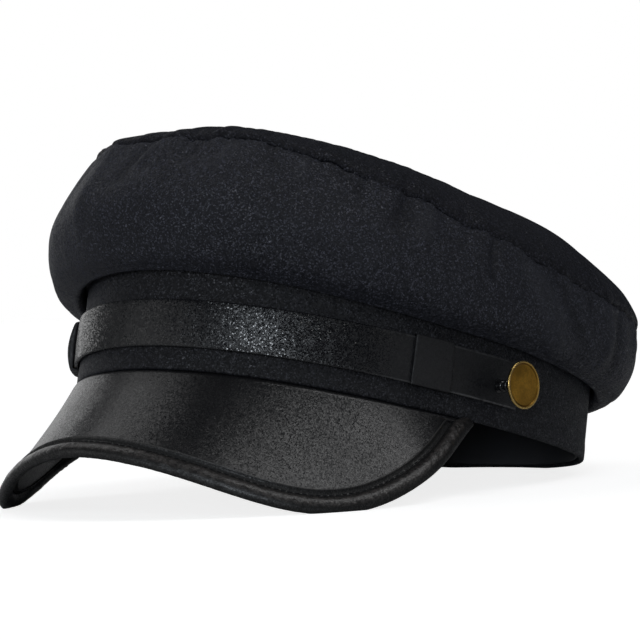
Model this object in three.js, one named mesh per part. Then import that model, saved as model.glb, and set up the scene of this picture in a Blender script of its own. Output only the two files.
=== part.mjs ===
// A cadet cap: soft cloth crown over a stiff band, a leather strap with two metal
// buttons along the front, and an arched leather peak with a rolled binding.
// Millimetres, +Z up, the wearer's front towards -Y. The cap stands on a table as it
// would by itself: on the two low parts of the peak and the back of the band.
import * as THREE from 'three';

// Driving dimensions of the cap, upright, measured from the rim of the band
const BAND_LENGTH = 207;
const BAND_WIDTH = 163;
const BAND_HEIGHT = 36;
const BAND_WALL = 1.8;
const RIM_WAVE = 2.1;          // the rim is this much higher at front and back, lower at the sides
const LEAN = 13.7;             // degrees that the cap leans back where it rests
const REST_FLAT = 0.8;         // cloth and leather pressed flat by the table
const GAP = 0.3;               // clearance between two pieces that touch

const SWEATBAND_WALL = 1.2;
const SWEATBAND_HEIGHT = 31;
const SWEATBAND_RISE = 1.2;    // its lower edge above the rim
const CROWN_WALL = 1.6;

const STRAP_BOTTOM = 7.5;
const STRAP_HEIGHT = 16.3;
const STRAP_WALL = 1.5;
const STRAP_END = 85.2;        // degrees round the band from the middle of the front

const KEEPER_ANGLES = { left: 66, right: -46 };
const KEEPER_SLACK = 0.6;
const KEEPER_LENGTH = 13.5;
const KEEPER_WALL = 1.5;

const BUTTON_ANGLE = 82.4;
const BUTTON_HEIGHT = 13.8;
const BUTTON_RADIUS = 8.2;
const BUTTON_STANDOFF = 12.5;
const BUTTON_THICKNESS = 2.4;
const BUTTON_RIM = 0.5;
const SHANK_RADIUS = 2.1;

const PEAK_CORNER = 79;        // degrees round the band where the peak starts
const PEAK_REACH = 108.2;      // from the line between its corners to its front edge
const PEAK_ROUNDNESS = 1.29;   // power of the outline's sine and cosine
const PEAK_FLARE = 18.5;       // how far the low parts spread sideways
const PEAK_DROP_FRONT = 27.5;  // edge below the rim, in the middle of the front
const PEAK_DROP_LOBE = 14.2;   // added towards the two low parts
const PEAK_DROP_SIDE = 22.4;   // added on their outer slopes
const PEAK_WALL = 2;
const PEAK_ARCH = -0.012;      // of its width at each place
const CORNER_TILT = 1.2;       // keeps the binding's inner side below the rim at the corners
const BINDING_LENGTH = 6;
const BINDING_THICKNESS = 3.6;

// Sections of the crown, one row for each direction from the wearer's front: the lower
// line of the cloth, how far it swells at its foot and its middle, and the top seam
const CROWN_SECTIONS = [
  { angle: 0, foot: 35.3, footOut: 11.8, bellyOut: 15.6, seamOut: 2.8, seam: 81.1 },
  { angle: 30, foot: 33.1, footOut: 12.6, bellyOut: 16.2, seamOut: 5.5, seam: 78.6 },
  { angle: 60, foot: 28.3, footOut: 13.6, bellyOut: 15.0, seamOut: 9.2, seam: 66.3 },
  { angle: 90, foot: 25.1, footOut: 12.4, bellyOut: 13.7, seamOut: 10.2, seam: 55.1 },
  { angle: 120, foot: 22.8, footOut: 11.6, bellyOut: 15.2, seamOut: 14.2, seam: 50.1 },
  { angle: 150, foot: 21.7, footOut: 10.2, bellyOut: 15.3, seamOut: 16.5, seam: 52.3 },
  { angle: 180, foot: 21.6, footOut: 9.6, bellyOut: 15.6, seamOut: 16.6, seam: 52.2 },
];
const TUCK_OUT = 1.4;          // the cloth turns over the band's top edge this far out
const HANG_OUT = 2.1;          // and hangs down beside the band this far out
const FOOT_OUT = 3.4;          // to the lowest line of the crown
const FOOT_SHARE = 0.14;       // of the height, where the foot is at its widest
const BELLY_SHARE = 0.5;       // of the height, where the belly is measured

// Soft folds that hang from the top seam: where, how wide, how far they stand out (or
// sink in, below zero) and how far down the side they reach, as a share of its height
const FOLDS = [
  { angle: -168, width: 6, depth: -1.2, reach: 0.4 },
  { angle: -146, width: 6, depth: 1.6, reach: 0.6 },
  { angle: -121, width: 5, depth: -1.2, reach: 0.4 },
  { angle: -98, width: 6, depth: 1.8, reach: 0.6 },
  { angle: -74, width: 5, depth: -1.4, reach: 0.5 },
  { angle: -52, width: 6, depth: 1.4, reach: 0.5 },
  { angle: -33, width: 5, depth: -1.2, reach: 0.6 },
  { angle: -15, width: 5, depth: 2.0, reach: 0.7 },
  { angle: 3, width: 4, depth: 1.2, reach: 0.3 },
  { angle: 21, width: 5, depth: -1.0, reach: 0.4 },
  { angle: 40, width: 5, depth: -1.4, reach: 0.4 },
  { angle: 51, width: 5, depth: 1.8, reach: 0.5 },
  { angle: 63, width: 5, depth: -1.4, reach: 0.4 },
  { angle: 75, width: 4, depth: 1.6, reach: 0.4 },
  { angle: 90, width: 5, depth: 1.6, reach: 0.6 },
  { angle: 107, width: 5, depth: 1.8, reach: 0.7 },
  { angle: 130, width: 6, depth: -1.4, reach: 0.5 },
  { angle: 153, width: 6, depth: 1.6, reach: 0.5 },
];
const SEAM_LIP = 1.3;          // the top's edge runs on along the side before it turns in
const TOP_CENTRE = 88.3;
const TOP_SLOPE = -3.5;
const TOP_SIDE_FALL = 13;

const AROUND = 96;             // steps round the band and the crown
const rad = THREE.MathUtils.degToRad;

// The band's outline is an oval, and its rim rises and falls twice on the way round
function ovalNormal(angle) {
  const x = Math.sin(angle) / BAND_WIDTH;
  const y = -Math.cos(angle) / BAND_LENGTH;
  return new THREE.Vector3(x, y, 0).normalize();
}

function ovalPoint(angle, out, z) {
  const x = Math.sin(angle) * BAND_WIDTH / 2;
  const y = -Math.cos(angle) * BAND_LENGTH / 2;
  return new THREE.Vector3(x, y, z).addScaledVector(ovalNormal(angle), out);
}

const rimHeight = (angle) => RIM_WAVE * Math.cos(2 * angle);

// A point on the band or beside it: how far out of its face and how high above its rim
function bandPoint(angle, out, height) {
  return ovalPoint(angle, out, height + rimHeight(angle));
}

// A closed body from sections of the same number of points, joined side by side.
// In a ring the last section meets the first; otherwise both ends are closed.
function loft(sections, ring) {
  const count = sections[0].length;
  const positions = sections.flat().flatMap((point) => point.toArray());
  const index = [];
  const quad = (a, b, c, d) => {
    index.push(a, b, c, a, c, d);
  };
  const last = ring ? sections.length : sections.length - 1;
  for (let i = 0; i < last; i += 1) {
    const here = i * count;
    const next = ((i + 1) % sections.length) * count;
    for (let j = 0; j < count; j += 1) {
      const k = (j + 1) % count;
      quad(here + j, next + j, next + k, here + k);
    }
  }
  if (!ring) {
    const end = (sections.length - 1) * count;
    for (let j = 0; j + 1 < count / 2; j += 1) {
      quad(j, j + 1, count - 2 - j, count - 1 - j);
      quad(end + j + 1, end + j, end + count - 1 - j, end + count - 2 - j);
    }
  }
  return body(positions, index);
}

// Welds equal points, drops triangles without area and turns the faces outwards
function body(positions, index) {
  const places = new Map();
  const welded = [];
  const target = [];
  for (let i = 0; i < positions.length; i += 3) {
    const point = positions.slice(i, i + 3).map(Math.fround);
    const key = point.join();
    if (!places.has(key)) {
      places.set(key, welded.length / 3);
      welded.push(...point);
    }
    target.push(places.get(key));
  }
  const triangles = [];
  let volume = 0;
  for (let i = 0; i < index.length; i += 3) {
    const [a, b, c] = index.slice(i, i + 3).map((k) => target[k]);
    if (a !== b && b !== c && c !== a) {
      triangles.push([a, b, c]);
      const [p, q, r] = [a, b, c].map((k) => new THREE.Vector3().fromArray(welded, 3 * k));
      volume += p.dot(q.cross(r)) / 6;
    }
  }
  if (volume < 0) {
    triangles.forEach((triangle) => triangle.reverse());
  }
  const geometry = new THREE.BufferGeometry();
  geometry.setAttribute('position', new THREE.Float32BufferAttribute(welded, 3));
  geometry.setIndex(triangles.flat());
  geometry.computeVertexNormals();
  return geometry;
}

// A wall of even thickness about a grid of points, rows[i][j]. Rows run round the cap.
// With a pole, the last point of every row is the same one.
function sheet(rows, wall, { ring = false, pole = false } = {}) {
  const lastRow = rows.length - 1;
  const lastColumn = rows[0].length - 1;
  const row = (i) => {
    const k = ring ? (i + rows.length) % rows.length : THREE.MathUtils.clamp(i, 0, lastRow);
    return rows[k];
  };
  const normalAt = (i, j) => {
    const along = row(i + 1)[j].clone().sub(row(i - 1)[j]);
    const up = rows[i][Math.min(j + 1, lastColumn)].clone().sub(rows[i][Math.max(j - 1, 0)]);
    return along.cross(up).normalize();
  };
  const sections = rows.map((points, i) => {
    const normals = points.map((point, j) => {
      if (pole && j === lastColumn) {
        return new THREE.Vector3(0, 0, 1);
      }
      return normalAt(i, j);
    });
    const outer = points.map((point, j) => point.clone().addScaledVector(normals[j], wall / 2));
    const inner = points.map((point, j) => point.clone().addScaledVector(normals[j], -wall / 2));
    return [...outer, ...inner.reverse()];
  });
  return loft(sections, ring);
}

// The table presses flat what would reach below it
const lean = rad(LEAN);
const heightAsRested = (y, z) => Math.cos(lean) * z - Math.sin(lean) * y;
const TABLE = heightAsRested(BAND_LENGTH / 2, RIM_WAVE) + REST_FLAT;

function pressFlat(geometry) {
  const position = geometry.getAttribute('position');
  for (let i = 0; i < position.count; i += 1) {
    const below = TABLE - heightAsRested(position.getY(i), position.getZ(i));
    if (below > 0) {
      position.setZ(i, position.getZ(i) + below / Math.cos(lean));
    }
  }
  return geometry;
}

const aroundAngles = Array.from({ length: AROUND }, (unused, i) => 2 * Math.PI * i / AROUND - Math.PI);

// A column of the crown's table at any angle, the same on both sides
function crownColumn(name) {
  const values = CROWN_SECTIONS.map((section) => section[name]);
  const step = Math.PI / (CROWN_SECTIONS.length - 1);
  const at = (k) => values[k < 0 ? -k : (k > values.length - 1 ? 2 * (values.length - 1) - k : k)];
  return (angle) => {
    const place = Math.abs(angle) / step;
    const k = Math.min(Math.floor(place), values.length - 2);
    const f = place - k;
    const [a, b, c, d] = [at(k - 1), at(k), at(k + 1), at(k + 2)];
    return b + f * (c - a + f * (2 * a - 5 * b + 4 * c - d + f * (3 * (b - c) + d - a))) / 2;
  };
}

const foot = crownColumn('foot');
const footOut = crownColumn('footOut');
const bellyOut = crownColumn('bellyOut');
const seamOut = crownColumn('seamOut');
const seam = crownColumn('seam');

// How far the folds push the side out, at a share of the way up from foot to seam
function foldOut(angle, share) {
  return FOLDS.reduce((sum, fold) => {
    const away = THREE.MathUtils.euclideanModulo(angle - rad(fold.angle) + Math.PI, 2 * Math.PI) - Math.PI;
    const across = Math.exp(-((away / rad(fold.width)) ** 2));
    const down = Math.max(0, 1 - (1 - share) / fold.reach);
    return sum + fold.depth * across * down;
  }, 0);
}

// The wall's middle line at one angle: over the band's top edge, down outside it to the
// lower line, then out and up over the belly to the top seam. Points are out, height.
function sideLine(angle) {
  const top = BAND_HEIGHT + rimHeight(angle) + CROWN_WALL / 2 + GAP;
  const low = foot(angle);
  const rise = seam(angle) - low;
  const tuck = [
    new THREE.Vector2(-BAND_WALL / 2, top),
    new THREE.Vector2(TUCK_OUT, top - 0.1),
    new THREE.Vector2(HANG_OUT, low + CROWN_WALL / 2 + TUCK_OUT),
  ];
  const swell = new THREE.SplineCurve([
    new THREE.Vector2(FOOT_OUT, low + CROWN_WALL / 2),
    new THREE.Vector2(footOut(angle) - CROWN_WALL / 2, low + FOOT_SHARE * rise),
    new THREE.Vector2(bellyOut(angle) - CROWN_WALL / 2, low + BELLY_SHARE * rise),
    new THREE.Vector2(seamOut(angle) - CROWN_WALL / 2, seam(angle)),
  ]);
  const swelled = swell.getPoints(7).map((point, i, all) => {
    const share = i / (all.length - 1);
    return new THREE.Vector2(point.x + foldOut(angle, share), point.y);
  });
  return [...tuck, ...swelled];
}

function crownSide() {
  const rows = aroundAngles.map((angle) => sideLine(angle).map((point) => {
    return ovalPoint(angle, point.x, point.y);
  }));
  return sheet(rows, CROWN_WALL, { ring: true });
}

// The top panel: a slack dome that rises from the seam
function crownTop() {
  const rings = [0.98, 0.92, 0.8, 0.6, 0.35, 0];
  const rows = aroundAngles.map((angle) => {
    const line = sideLine(angle);
    const end = line[line.length - 1];
    const run = end.clone().sub(line[line.length - 2]).normalize();
    const beyondSeam = (length) => {
      const point = run.clone().multiplyScalar(length).add(end);
      return ovalPoint(angle, point.x, point.y);
    };
    const edge = beyondSeam(GAP + SEAM_LIP);
    const dome = rings.map((ratio) => {
      const x = edge.x * ratio;
      const y = edge.y * ratio;
      const high = TOP_CENTRE + TOP_SLOPE * y / 100 - TOP_SIDE_FALL * (x / 100) ** 2;
      const rise = (1 - ratio ** 4) ** 0.7;
      return new THREE.Vector3(x, y, edge.z + (high - edge.z) * rise);
    });
    return [beyondSeam(GAP), edge, ...dome];
  });
  return sheet(rows, CROWN_WALL, { ring: true, pole: true });
}

// A wall that stands round the oval: its middle this far out, from one height to another
function ringWall(out, bottom, top, wall) {
  const rows = aroundAngles.map((angle) => [bandPoint(angle, out, bottom), bandPoint(angle, out, top)]);
  return sheet(rows, wall, { ring: true });
}

function strap() {
  const steps = 48;
  const out = GAP + STRAP_WALL / 2;
  const rows = [];
  for (let i = 0; i <= steps; i += 1) {
    const angle = rad(STRAP_END) * (2 * i / steps - 1);
    rows.push([bandPoint(angle, out, STRAP_BOTTOM), bandPoint(angle, out, STRAP_BOTTOM + STRAP_HEIGHT)]);
  }
  return sheet(rows, STRAP_WALL);
}

// A loop of leather round the strap, open towards the band
function keeper(degrees) {
  const strapOut = GAP + STRAP_WALL;
  const inside = strapOut + KEEPER_SLACK;
  const outside = inside + KEEPER_WALL;
  const low = STRAP_BOTTOM - GAP;
  const high = STRAP_BOTTOM + STRAP_HEIGHT + GAP;
  const profile = [
    [GAP, low], [inside, low], [inside, high], [GAP, high],
    [GAP, high + KEEPER_WALL], [outside, high + KEEPER_WALL],
    [outside, low - KEEPER_WALL], [GAP, low - KEEPER_WALL],
  ];
  const middle = rad(degrees);
  const half = KEEPER_LENGTH / 2 / ovalPoint(middle, outside, 0).length();
  const steps = 4;
  const sections = [];
  for (let i = 0; i <= steps; i += 1) {
    const angle = middle + half * (2 * i / steps - 1);
    sections.push(profile.map(([out, height]) => bandPoint(angle, out, height)));
  }
  return loft(sections, false);
}

// Flat metal button with a raised rim on its shank, turned about its own axis
function button(side) {
  const base = GAP + STRAP_WALL + GAP;
  const back = BUTTON_STANDOFF - BUTTON_THICKNESS;
  const face = BUTTON_STANDOFF - BUTTON_RIM;
  const profile = [
    [0, base], [SHANK_RADIUS, base], [SHANK_RADIUS, back],
    [BUTTON_RADIUS - BUTTON_RIM, back], [BUTTON_RADIUS, back + BUTTON_RIM],
    [BUTTON_RADIUS, face], [BUTTON_RADIUS - BUTTON_RIM, BUTTON_STANDOFF],
    [BUTTON_RADIUS - 2 * BUTTON_RIM, BUTTON_STANDOFF], [BUTTON_RADIUS - 3 * BUTTON_RIM, face], [0, face],
  ].map(([radius, height]) => new THREE.Vector2(radius, height));
  const lathe = new THREE.LatheGeometry(profile, 20);
  const angle = rad(BUTTON_ANGLE) * side;
  const axis = ovalNormal(angle);
  lathe.applyQuaternion(new THREE.Quaternion().setFromUnitVectors(new THREE.Vector3(0, 1, 0), axis));
  const foothold = bandPoint(angle, 0, BUTTON_HEIGHT);
  lathe.translate(foothold.x, foothold.y, foothold.z);
  return body([...lathe.getAttribute('position').array], [...lathe.getIndex().array]);
}

// The peak hangs between the rim of the band and its binding's middle line. Both are given by one
// value that runs from -1 at the wearer's right corner to 1 at the left corner.
function peakRoot(share) {
  return bandPoint(rad(PEAK_CORNER) * share, -0.4, -GAP - PEAK_WALL / 2);
}

function peakEdge(share) {
  const turn = share * Math.PI / 2;
  const sine = Math.sin(turn);
  const cosine = Math.cos(turn);
  const twice = Math.sin(2 * turn);
  const cornerX = Math.sin(rad(PEAK_CORNER)) * BAND_WIDTH / 2;
  const cornerY = -Math.cos(rad(PEAK_CORNER)) * BAND_LENGTH / 2;
  const x = cornerX * Math.sign(sine) * Math.abs(sine) ** PEAK_ROUNDNESS + PEAK_FLARE * twice;
  const y = cornerY - PEAK_REACH * Math.max(cosine, 0) ** PEAK_ROUNDNESS;
  const z = -PEAK_DROP_FRONT * cosine ** 2 - PEAK_DROP_LOBE * twice ** 2 - PEAK_DROP_SIDE * (twice * sine) ** 2;
  return new THREE.Vector3(x, y, z - 1.6 * GAP - BINDING_THICKNESS / 2);
}

// Directions at the edge: along it, out in the peak's surface, and down below it
function peakFrame(share) {
  const step = 0.004;
  const along = peakEdge(share + step).sub(peakEdge(share - step)).normalize();
  const out = peakEdge(share).sub(peakRoot(share));
  out.z += CORNER_TILT;
  out.addScaledVector(along, -out.dot(along)).normalize();
  return { out, under: along.clone().cross(out) };
}

function peak() {
  const end = 0.9;
  const rows = [];
  const steps = 38;
  const across = 5;
  for (let i = 0; i <= steps; i += 1) {
    const share = end * (2 * i / steps - 1);
    const root = peakRoot(share);
    const { out, under } = peakFrame(share);
    const edge = peakEdge(share).addScaledVector(out, -BINDING_LENGTH / 2 - 1.2 * GAP);
    const points = [];
    for (let j = 0; j <= across; j += 1) {
      const v = j / across;
      const arch = PEAK_ARCH * root.distanceTo(edge) * 4 * v * (1 - v);
      points.push(root.clone().lerp(edge, v).addScaledVector(under, -arch));
    }
    rows.push(points);
  }
  return sheet(rows, PEAK_WALL);
}

function peakBinding() {
  const steps = 48;
  const sides = 10;
  const end = 0.97;
  const sections = [];
  for (let i = 0; i <= steps; i += 1) {
    const share = end * (2 * i / steps - 1);
    const { out, under } = peakFrame(share);
    const middle = peakEdge(share);
    const section = [];
    for (let j = 0; j < sides; j += 1) {
      const turn = 2 * Math.PI * (j + 0.5) / sides;
      const along = Math.cos(turn) * BINDING_LENGTH / 2;
      const high = Math.sin(turn) * BINDING_THICKNESS / 2;
      section.push(middle.clone().addScaledVector(out, along).addScaledVector(under, high));
    }
    sections.push(section);
  }
  return loft(sections, false);
}

const cloth = { color: 0x101013, roughness: 0.8, metalness: 0 };
const patent = { color: 0x0b0b0d, roughness: 0.15, metalness: 0 };
const leather = { color: 0x121212, roughness: 0.4, metalness: 0 };
const lining = { color: 0x15161a, roughness: 0.6, metalness: 0 };
const brass = { color: 0xb08a45, roughness: 0.3, metalness: 1 };

const cap = new THREE.Group();
cap.rotation.x = -lean;

function add(name, geometry, look) {
  const mesh = new THREE.Mesh(geometry, new THREE.MeshStandardMaterial(look));
  mesh.name = name;
  cap.add(mesh);
}

add('crown_side', crownSide(), cloth);
add('crown_top', crownTop(), cloth);
add('band', pressFlat(ringWall(-BAND_WALL / 2, 0, BAND_HEIGHT, BAND_WALL)), cloth);
const sweatbandOut = -BAND_WALL - GAP - SWEATBAND_WALL / 2;
const sweatbandTop = SWEATBAND_RISE + SWEATBAND_HEIGHT;
add('sweatband', ringWall(sweatbandOut, SWEATBAND_RISE, sweatbandTop, SWEATBAND_WALL), lining);
add('strap', strap(), patent);
add('strap_keeper_left', keeper(KEEPER_ANGLES.left), leather);
add('strap_keeper_right', keeper(KEEPER_ANGLES.right), leather);
add('button_left', button(1), brass);
add('button_right', button(-1), brass);
add('peak', peak(), leather);
add('peak_binding', pressFlat(peakBinding()), leather);

// Stand the cap on the table with its middle over the origin
const root = new THREE.Group();
root.add(cap);
root.updateMatrixWorld(true);
const box = new THREE.Box3().setFromObject(root, true);
cap.position.set(-(box.min.x + box.max.x) / 2, -(box.min.y + box.max.y) / 2, -box.min.z);

export default root;
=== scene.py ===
# %% [markdown]
# # A cadet cap
# A soft cloth crown stands on a stiff band. A glossy strap runs round the front of the
# band between two metal buttons, and a leather peak with a rolled edge shades the eyes.
# The cap's solids are already there: this script loads them and dresses them. It keeps
# their box, so that the finished cap's box can be printed beside it at the end.

import math

import bpy
import numpy as np
from mathutils import Matrix, Vector, noise


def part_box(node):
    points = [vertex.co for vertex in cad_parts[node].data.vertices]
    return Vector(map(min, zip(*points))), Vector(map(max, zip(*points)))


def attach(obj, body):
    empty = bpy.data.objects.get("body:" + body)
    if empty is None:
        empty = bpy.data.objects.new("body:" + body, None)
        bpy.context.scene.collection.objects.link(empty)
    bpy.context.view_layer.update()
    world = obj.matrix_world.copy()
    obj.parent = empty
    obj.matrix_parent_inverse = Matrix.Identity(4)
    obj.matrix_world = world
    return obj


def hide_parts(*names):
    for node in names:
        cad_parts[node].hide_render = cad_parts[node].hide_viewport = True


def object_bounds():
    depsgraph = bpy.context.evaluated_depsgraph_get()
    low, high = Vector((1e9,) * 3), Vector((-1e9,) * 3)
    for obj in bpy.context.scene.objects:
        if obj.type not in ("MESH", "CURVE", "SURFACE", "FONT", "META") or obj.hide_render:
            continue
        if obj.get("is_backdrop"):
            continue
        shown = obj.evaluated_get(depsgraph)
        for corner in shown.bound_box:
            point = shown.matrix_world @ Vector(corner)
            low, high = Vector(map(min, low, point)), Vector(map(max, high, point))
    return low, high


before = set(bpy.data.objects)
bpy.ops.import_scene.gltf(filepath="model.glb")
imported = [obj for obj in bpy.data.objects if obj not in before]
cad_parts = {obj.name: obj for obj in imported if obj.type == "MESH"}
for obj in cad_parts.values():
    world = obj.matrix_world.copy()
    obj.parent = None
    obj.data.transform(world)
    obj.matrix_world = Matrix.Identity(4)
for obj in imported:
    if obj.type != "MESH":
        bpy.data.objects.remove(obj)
cad_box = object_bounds()
bpy.ops.object.select_all(action="DESELECT")
print("solids:", sorted(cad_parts))

# %% [markdown]
# ## The cap's own measures
# A hat is drafted upright, from the rim of its band. The band is an oval, and its rim
# rises a little at the front and the back. Everything below is drafted in millimetres
# in that upright cap, by an angle round the band from the middle of the front, a
# distance out of the band's face and a height above its rim. The same numbers shaped
# the solids, so the dressed cap fits them without any measuring afterwards.

# %% The oval of the band
BAND_LENGTH, BAND_WIDTH, BAND_HEIGHT, BAND_WALL = 207.0, 163.0, 36.0, 1.8
RIM_WAVE, GAP, MM = 2.1, 0.3, 0.001


def together(*numbers):
    """Numbers and arrays, stretched to one shape and bundled into points."""
    return np.stack(np.broadcast_arrays(*numbers), -1)


def oval(angle, out, height):
    """Points beside the band: angle round it, millimetres out of its face, and height."""
    nx = np.sin(angle) / BAND_WIDTH
    ny = -np.cos(angle) / BAND_LENGTH
    size = np.hypot(nx, ny)
    x = np.sin(angle) * BAND_WIDTH / 2 + out * nx / size
    y = -np.cos(angle) * BAND_LENGTH / 2 + out * ny / size
    return together(x, y, height)


def band_point(angle, out, height):
    """The same, with the height measured from the waving rim."""
    return oval(angle, out, height + RIM_WAVE * np.cos(2 * angle))


# %% [markdown]
# ## From the upright cap to the cap at rest
# Put down on a table, the cap leans back until the two low parts of its peak and the
# back of its band touch. So every drafted point is turned by the lean, moved to where
# the solids are and scaled to metres. The move is read from the sweatband, the plainest
# ring of all: its middle in the draft has to become its middle in the solids.

# %% Turn, move and scale a drafted point
LEAN = math.radians(13.7)
SWEATBAND_WALL, SWEATBAND_RISE, SWEATBAND_HEIGHT = 1.2, 1.2, 31.0
SWEATBAND_TOP, SWEATBAND_FACE = SWEATBAND_RISE + SWEATBAND_HEIGHT, -BAND_WALL - GAP
SWEATBAND_INSIDE = SWEATBAND_FACE - SWEATBAND_WALL


def leaned(points, lean):
    """Points turned back by an angle, about the line from ear to ear."""
    x, y, z = points[..., 0], points[..., 1], points[..., 2]
    back = y * math.cos(lean) + z * math.sin(lean)
    return together(x, back, z * math.cos(lean) - y * math.sin(lean))


ring_angles = np.linspace(-math.pi, math.pi, 96, endpoint=False)
sweatband_edges = leaned(np.concatenate([
    band_point(ring_angles, out, height)
    for out in (SWEATBAND_FACE, SWEATBAND_INSIDE)
    for height in (SWEATBAND_RISE, SWEATBAND_TOP)
]), LEAN)
drafted_middle = (sweatband_edges.min(0) + sweatband_edges.max(0)) / 2
low, high = (np.array(corner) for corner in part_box("sweatband"))
SHIFT = (low + high) / 2 / MM - drafted_middle


def rest(points):
    """Upright millimetres to metres in the resting cap, and never below the table."""
    placed = (leaned(points, LEAN) + SHIFT) * MM
    placed[..., 2] = np.maximum(placed[..., 2], 0.0)
    return placed


print("the upright cap moves by", SHIFT.round(3), "mm")

# %% [markdown]
# ## Sheets and tubes from a grid
# Cloth and leather start as flat goods, so each piece starts as a flat grid here. The
# grid keeps its UV map, and its vertices are moved to the curved place that the piece
# has on the cap, like a pattern that is wrapped round the block it is sewn on. Wrinkles
# are pushed in along the surface's own direction. Where a sheet closes to a ring or a
# tube, its two edges are merged, and the ends of a tube are drawn into a point. A loft
# by hand would take hundreds of ring extrusions for the same mesh.

# %% Normals and wrinkles
def surface_normals(points, ring):
    """Unit normals of a grid of points: rows go up, columns go round."""
    if ring:
        wide = np.concatenate([points[:, -2:-1], points, points[:, 1:2]], 1)
        across = (wide[:, 2:] - wide[:, :-2]) / 2
    else:
        across = np.gradient(points, axis=1)
    normals = np.cross(across, np.gradient(points, axis=0))
    return normals / np.maximum(np.linalg.norm(normals, axis=-1, keepdims=True), 1e-9)


def wrinkled(points, height, ring=False):
    """The same grid with each point pushed out of the surface by so many millimetres."""
    return points + surface_normals(points, ring) * height[..., None]


def noise_at(points):
    """Smooth noise, about -1 to 1, at each point."""
    values = [noise.noise(Vector(point)) for point in points.reshape(-1, 3)]
    return np.array(values).reshape(points.shape[:-1])


def uneven(points, layers):
    """Soft unevenness in layers of a height, a width and a seed, in millimetres."""
    return sum(height * noise_at(points / width + seed) for height, width, seed in layers)


# %% Lengths along a grid, closed ends and the grid itself
def run_along(points):
    """How far it is, row by row, from the first row to each of them."""
    steps = np.linalg.norm(np.diff(points, axis=0, prepend=points[:1]), axis=-1)
    return np.cumsum(steps, axis=0)


def close_ends(points):
    """A tube's grid with one more column at each end, drawn into a point."""
    ends = points[:, [0, -1]].mean(0)
    first, last = (np.broadcast_to(end, points[:, :1].shape) for end in ends)
    return np.concatenate([first, points, last], 1)


def grid_piece(name, points, uv, weld=True, outward=True):
    """A mesh object from rows and columns of upright points."""
    rows, columns = points.shape[0] - 1, points.shape[1] - 1
    bpy.ops.mesh.primitive_grid_add(x_subdivisions=columns, y_subdivisions=rows, size=1)
    piece = bpy.context.object
    mesh = piece.data
    piece.name = mesh.name = name
    flat = np.empty(len(mesh.vertices) * 3)
    mesh.vertices.foreach_get("co", flat)
    flat = flat.reshape(-1, 3)
    i = np.rint((flat[:, 0] + 0.5) * columns).astype(int)
    j = np.rint((flat[:, 1] + 0.5) * rows).astype(int)
    mesh.vertices.foreach_set("co", rest(points)[j, i].ravel())
    corner = np.empty(len(mesh.loops), int)
    mesh.loops.foreach_get("vertex_index", corner)
    mesh.uv_layers.active.data.foreach_set("uv", uv[j, i][corner].ravel())
    mesh.update()
    bpy.ops.object.mode_set(mode="EDIT")
    bpy.ops.mesh.select_all(action="SELECT")
    if weld:
        bpy.ops.mesh.remove_doubles(threshold=1e-6)
    if not outward:
        bpy.ops.mesh.flip_normals()
    bpy.ops.object.mode_set(mode="OBJECT")
    bpy.ops.object.shade_smooth()
    return piece


# %% Walls, modifiers and the end of every piece
def apply_modifier(piece, kind, **settings):
    """Adds a modifier, sets it and applies it at once."""
    bpy.context.view_layer.objects.active = piece
    modifier = piece.modifiers.new(kind.title(), kind)
    for key, value in settings.items():
        setattr(modifier, key, value)
    bpy.ops.object.modifier_apply(modifier=modifier.name)


def give_wall(piece, wall):
    """A sheet gets its thickness, half to each side."""
    apply_modifier(piece, "SOLIDIFY", thickness=wall * MM, offset=0.0, use_even_offset=False)
    piece.data.polygons.foreach_set("use_smooth", [True] * len(piece.data.polygons))


def finish_piece(piece, slot, *nodes):
    """Rides the piece on the cap and lets it stand for its solids. Its slot is not used."""
    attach(piece, "root")
    if nodes:
        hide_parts(*nodes)
    piece.select_set(False)
    print(piece.name, len(piece.data.polygons), "faces")
    return piece


# %% [markdown]
# ## The crown's side
# The side of the crown is one strip of cloth. Sewn to the band's top, it folds down over
# it, swells out over the ears and turns in at the top seam. Seven sections from front to
# back say where the strip runs, and a smooth curve joins them, the same on both sides.
# The table is the one that shaped the solid.

# %% Sections of the crown by angle
# Columns: lower line, swell at the foot, swell at the middle, swell at the seam, seam
CROWN_SECTIONS = np.array([
    [35.3, 11.8, 15.6, 2.8, 81.1],
    [33.1, 12.6, 16.2, 5.5, 78.6],
    [28.3, 13.6, 15.0, 9.2, 66.3],
    [25.1, 12.4, 13.7, 10.2, 55.1],
    [22.8, 11.6, 15.2, 14.2, 50.1],
    [21.7, 10.2, 15.3, 16.5, 52.3],
    [21.6, 9.6, 15.6, 16.6, 52.2],
])
SECTION_STEP = math.pi / (len(CROWN_SECTIONS) - 1)
CROWN_WALL, FOOT_OUT, FOOT_SHARE, BELLY_SHARE = 1.6, 3.4, 0.14, 0.5


def wrapped(angle):
    """The same direction as a turn of at most half a circle to either side."""
    return (angle + math.pi) % (2 * math.pi) - math.pi


def crown_column(column, angle):
    """One column of the table at any angle, by a smooth curve through its rows."""
    values = CROWN_SECTIONS[:, column]
    values = np.array([values[1], *values, values[-2]])
    place = np.abs(wrapped(angle)) / SECTION_STEP
    k = np.minimum(place.astype(int), len(CROWN_SECTIONS) - 2)
    f = place - k
    a, b, c, d = (values[k + o] for o in range(4))
    return b + f * (c - a + f * (2 * a - 5 * b + 4 * c - d + f * (3 * (b - c) + d - a))) / 2


def smooth_line(points, t):
    """A curve through a list of (out, height) pairs at shares t of its steps."""
    points = np.array([together(*pair) for pair in points])
    last = len(points) - 1
    place = np.clip(t, 0, 1) * last
    k = np.minimum(place.astype(int), last - 1)
    f = (place - k)[:, None]
    columns = np.arange(points.shape[1])
    before, here, after, beyond = (points[np.clip(k + o, 0, last), columns] for o in (-1, 0, 1, 2))
    v0, v1 = (after - before) / 2, (beyond - here) / 2
    a = 2 * here - 2 * after + v0 + v1
    b = -3 * here + 3 * after - 2 * v0 - v1
    return ((a * f + b) * f + v0) * f + here


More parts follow.
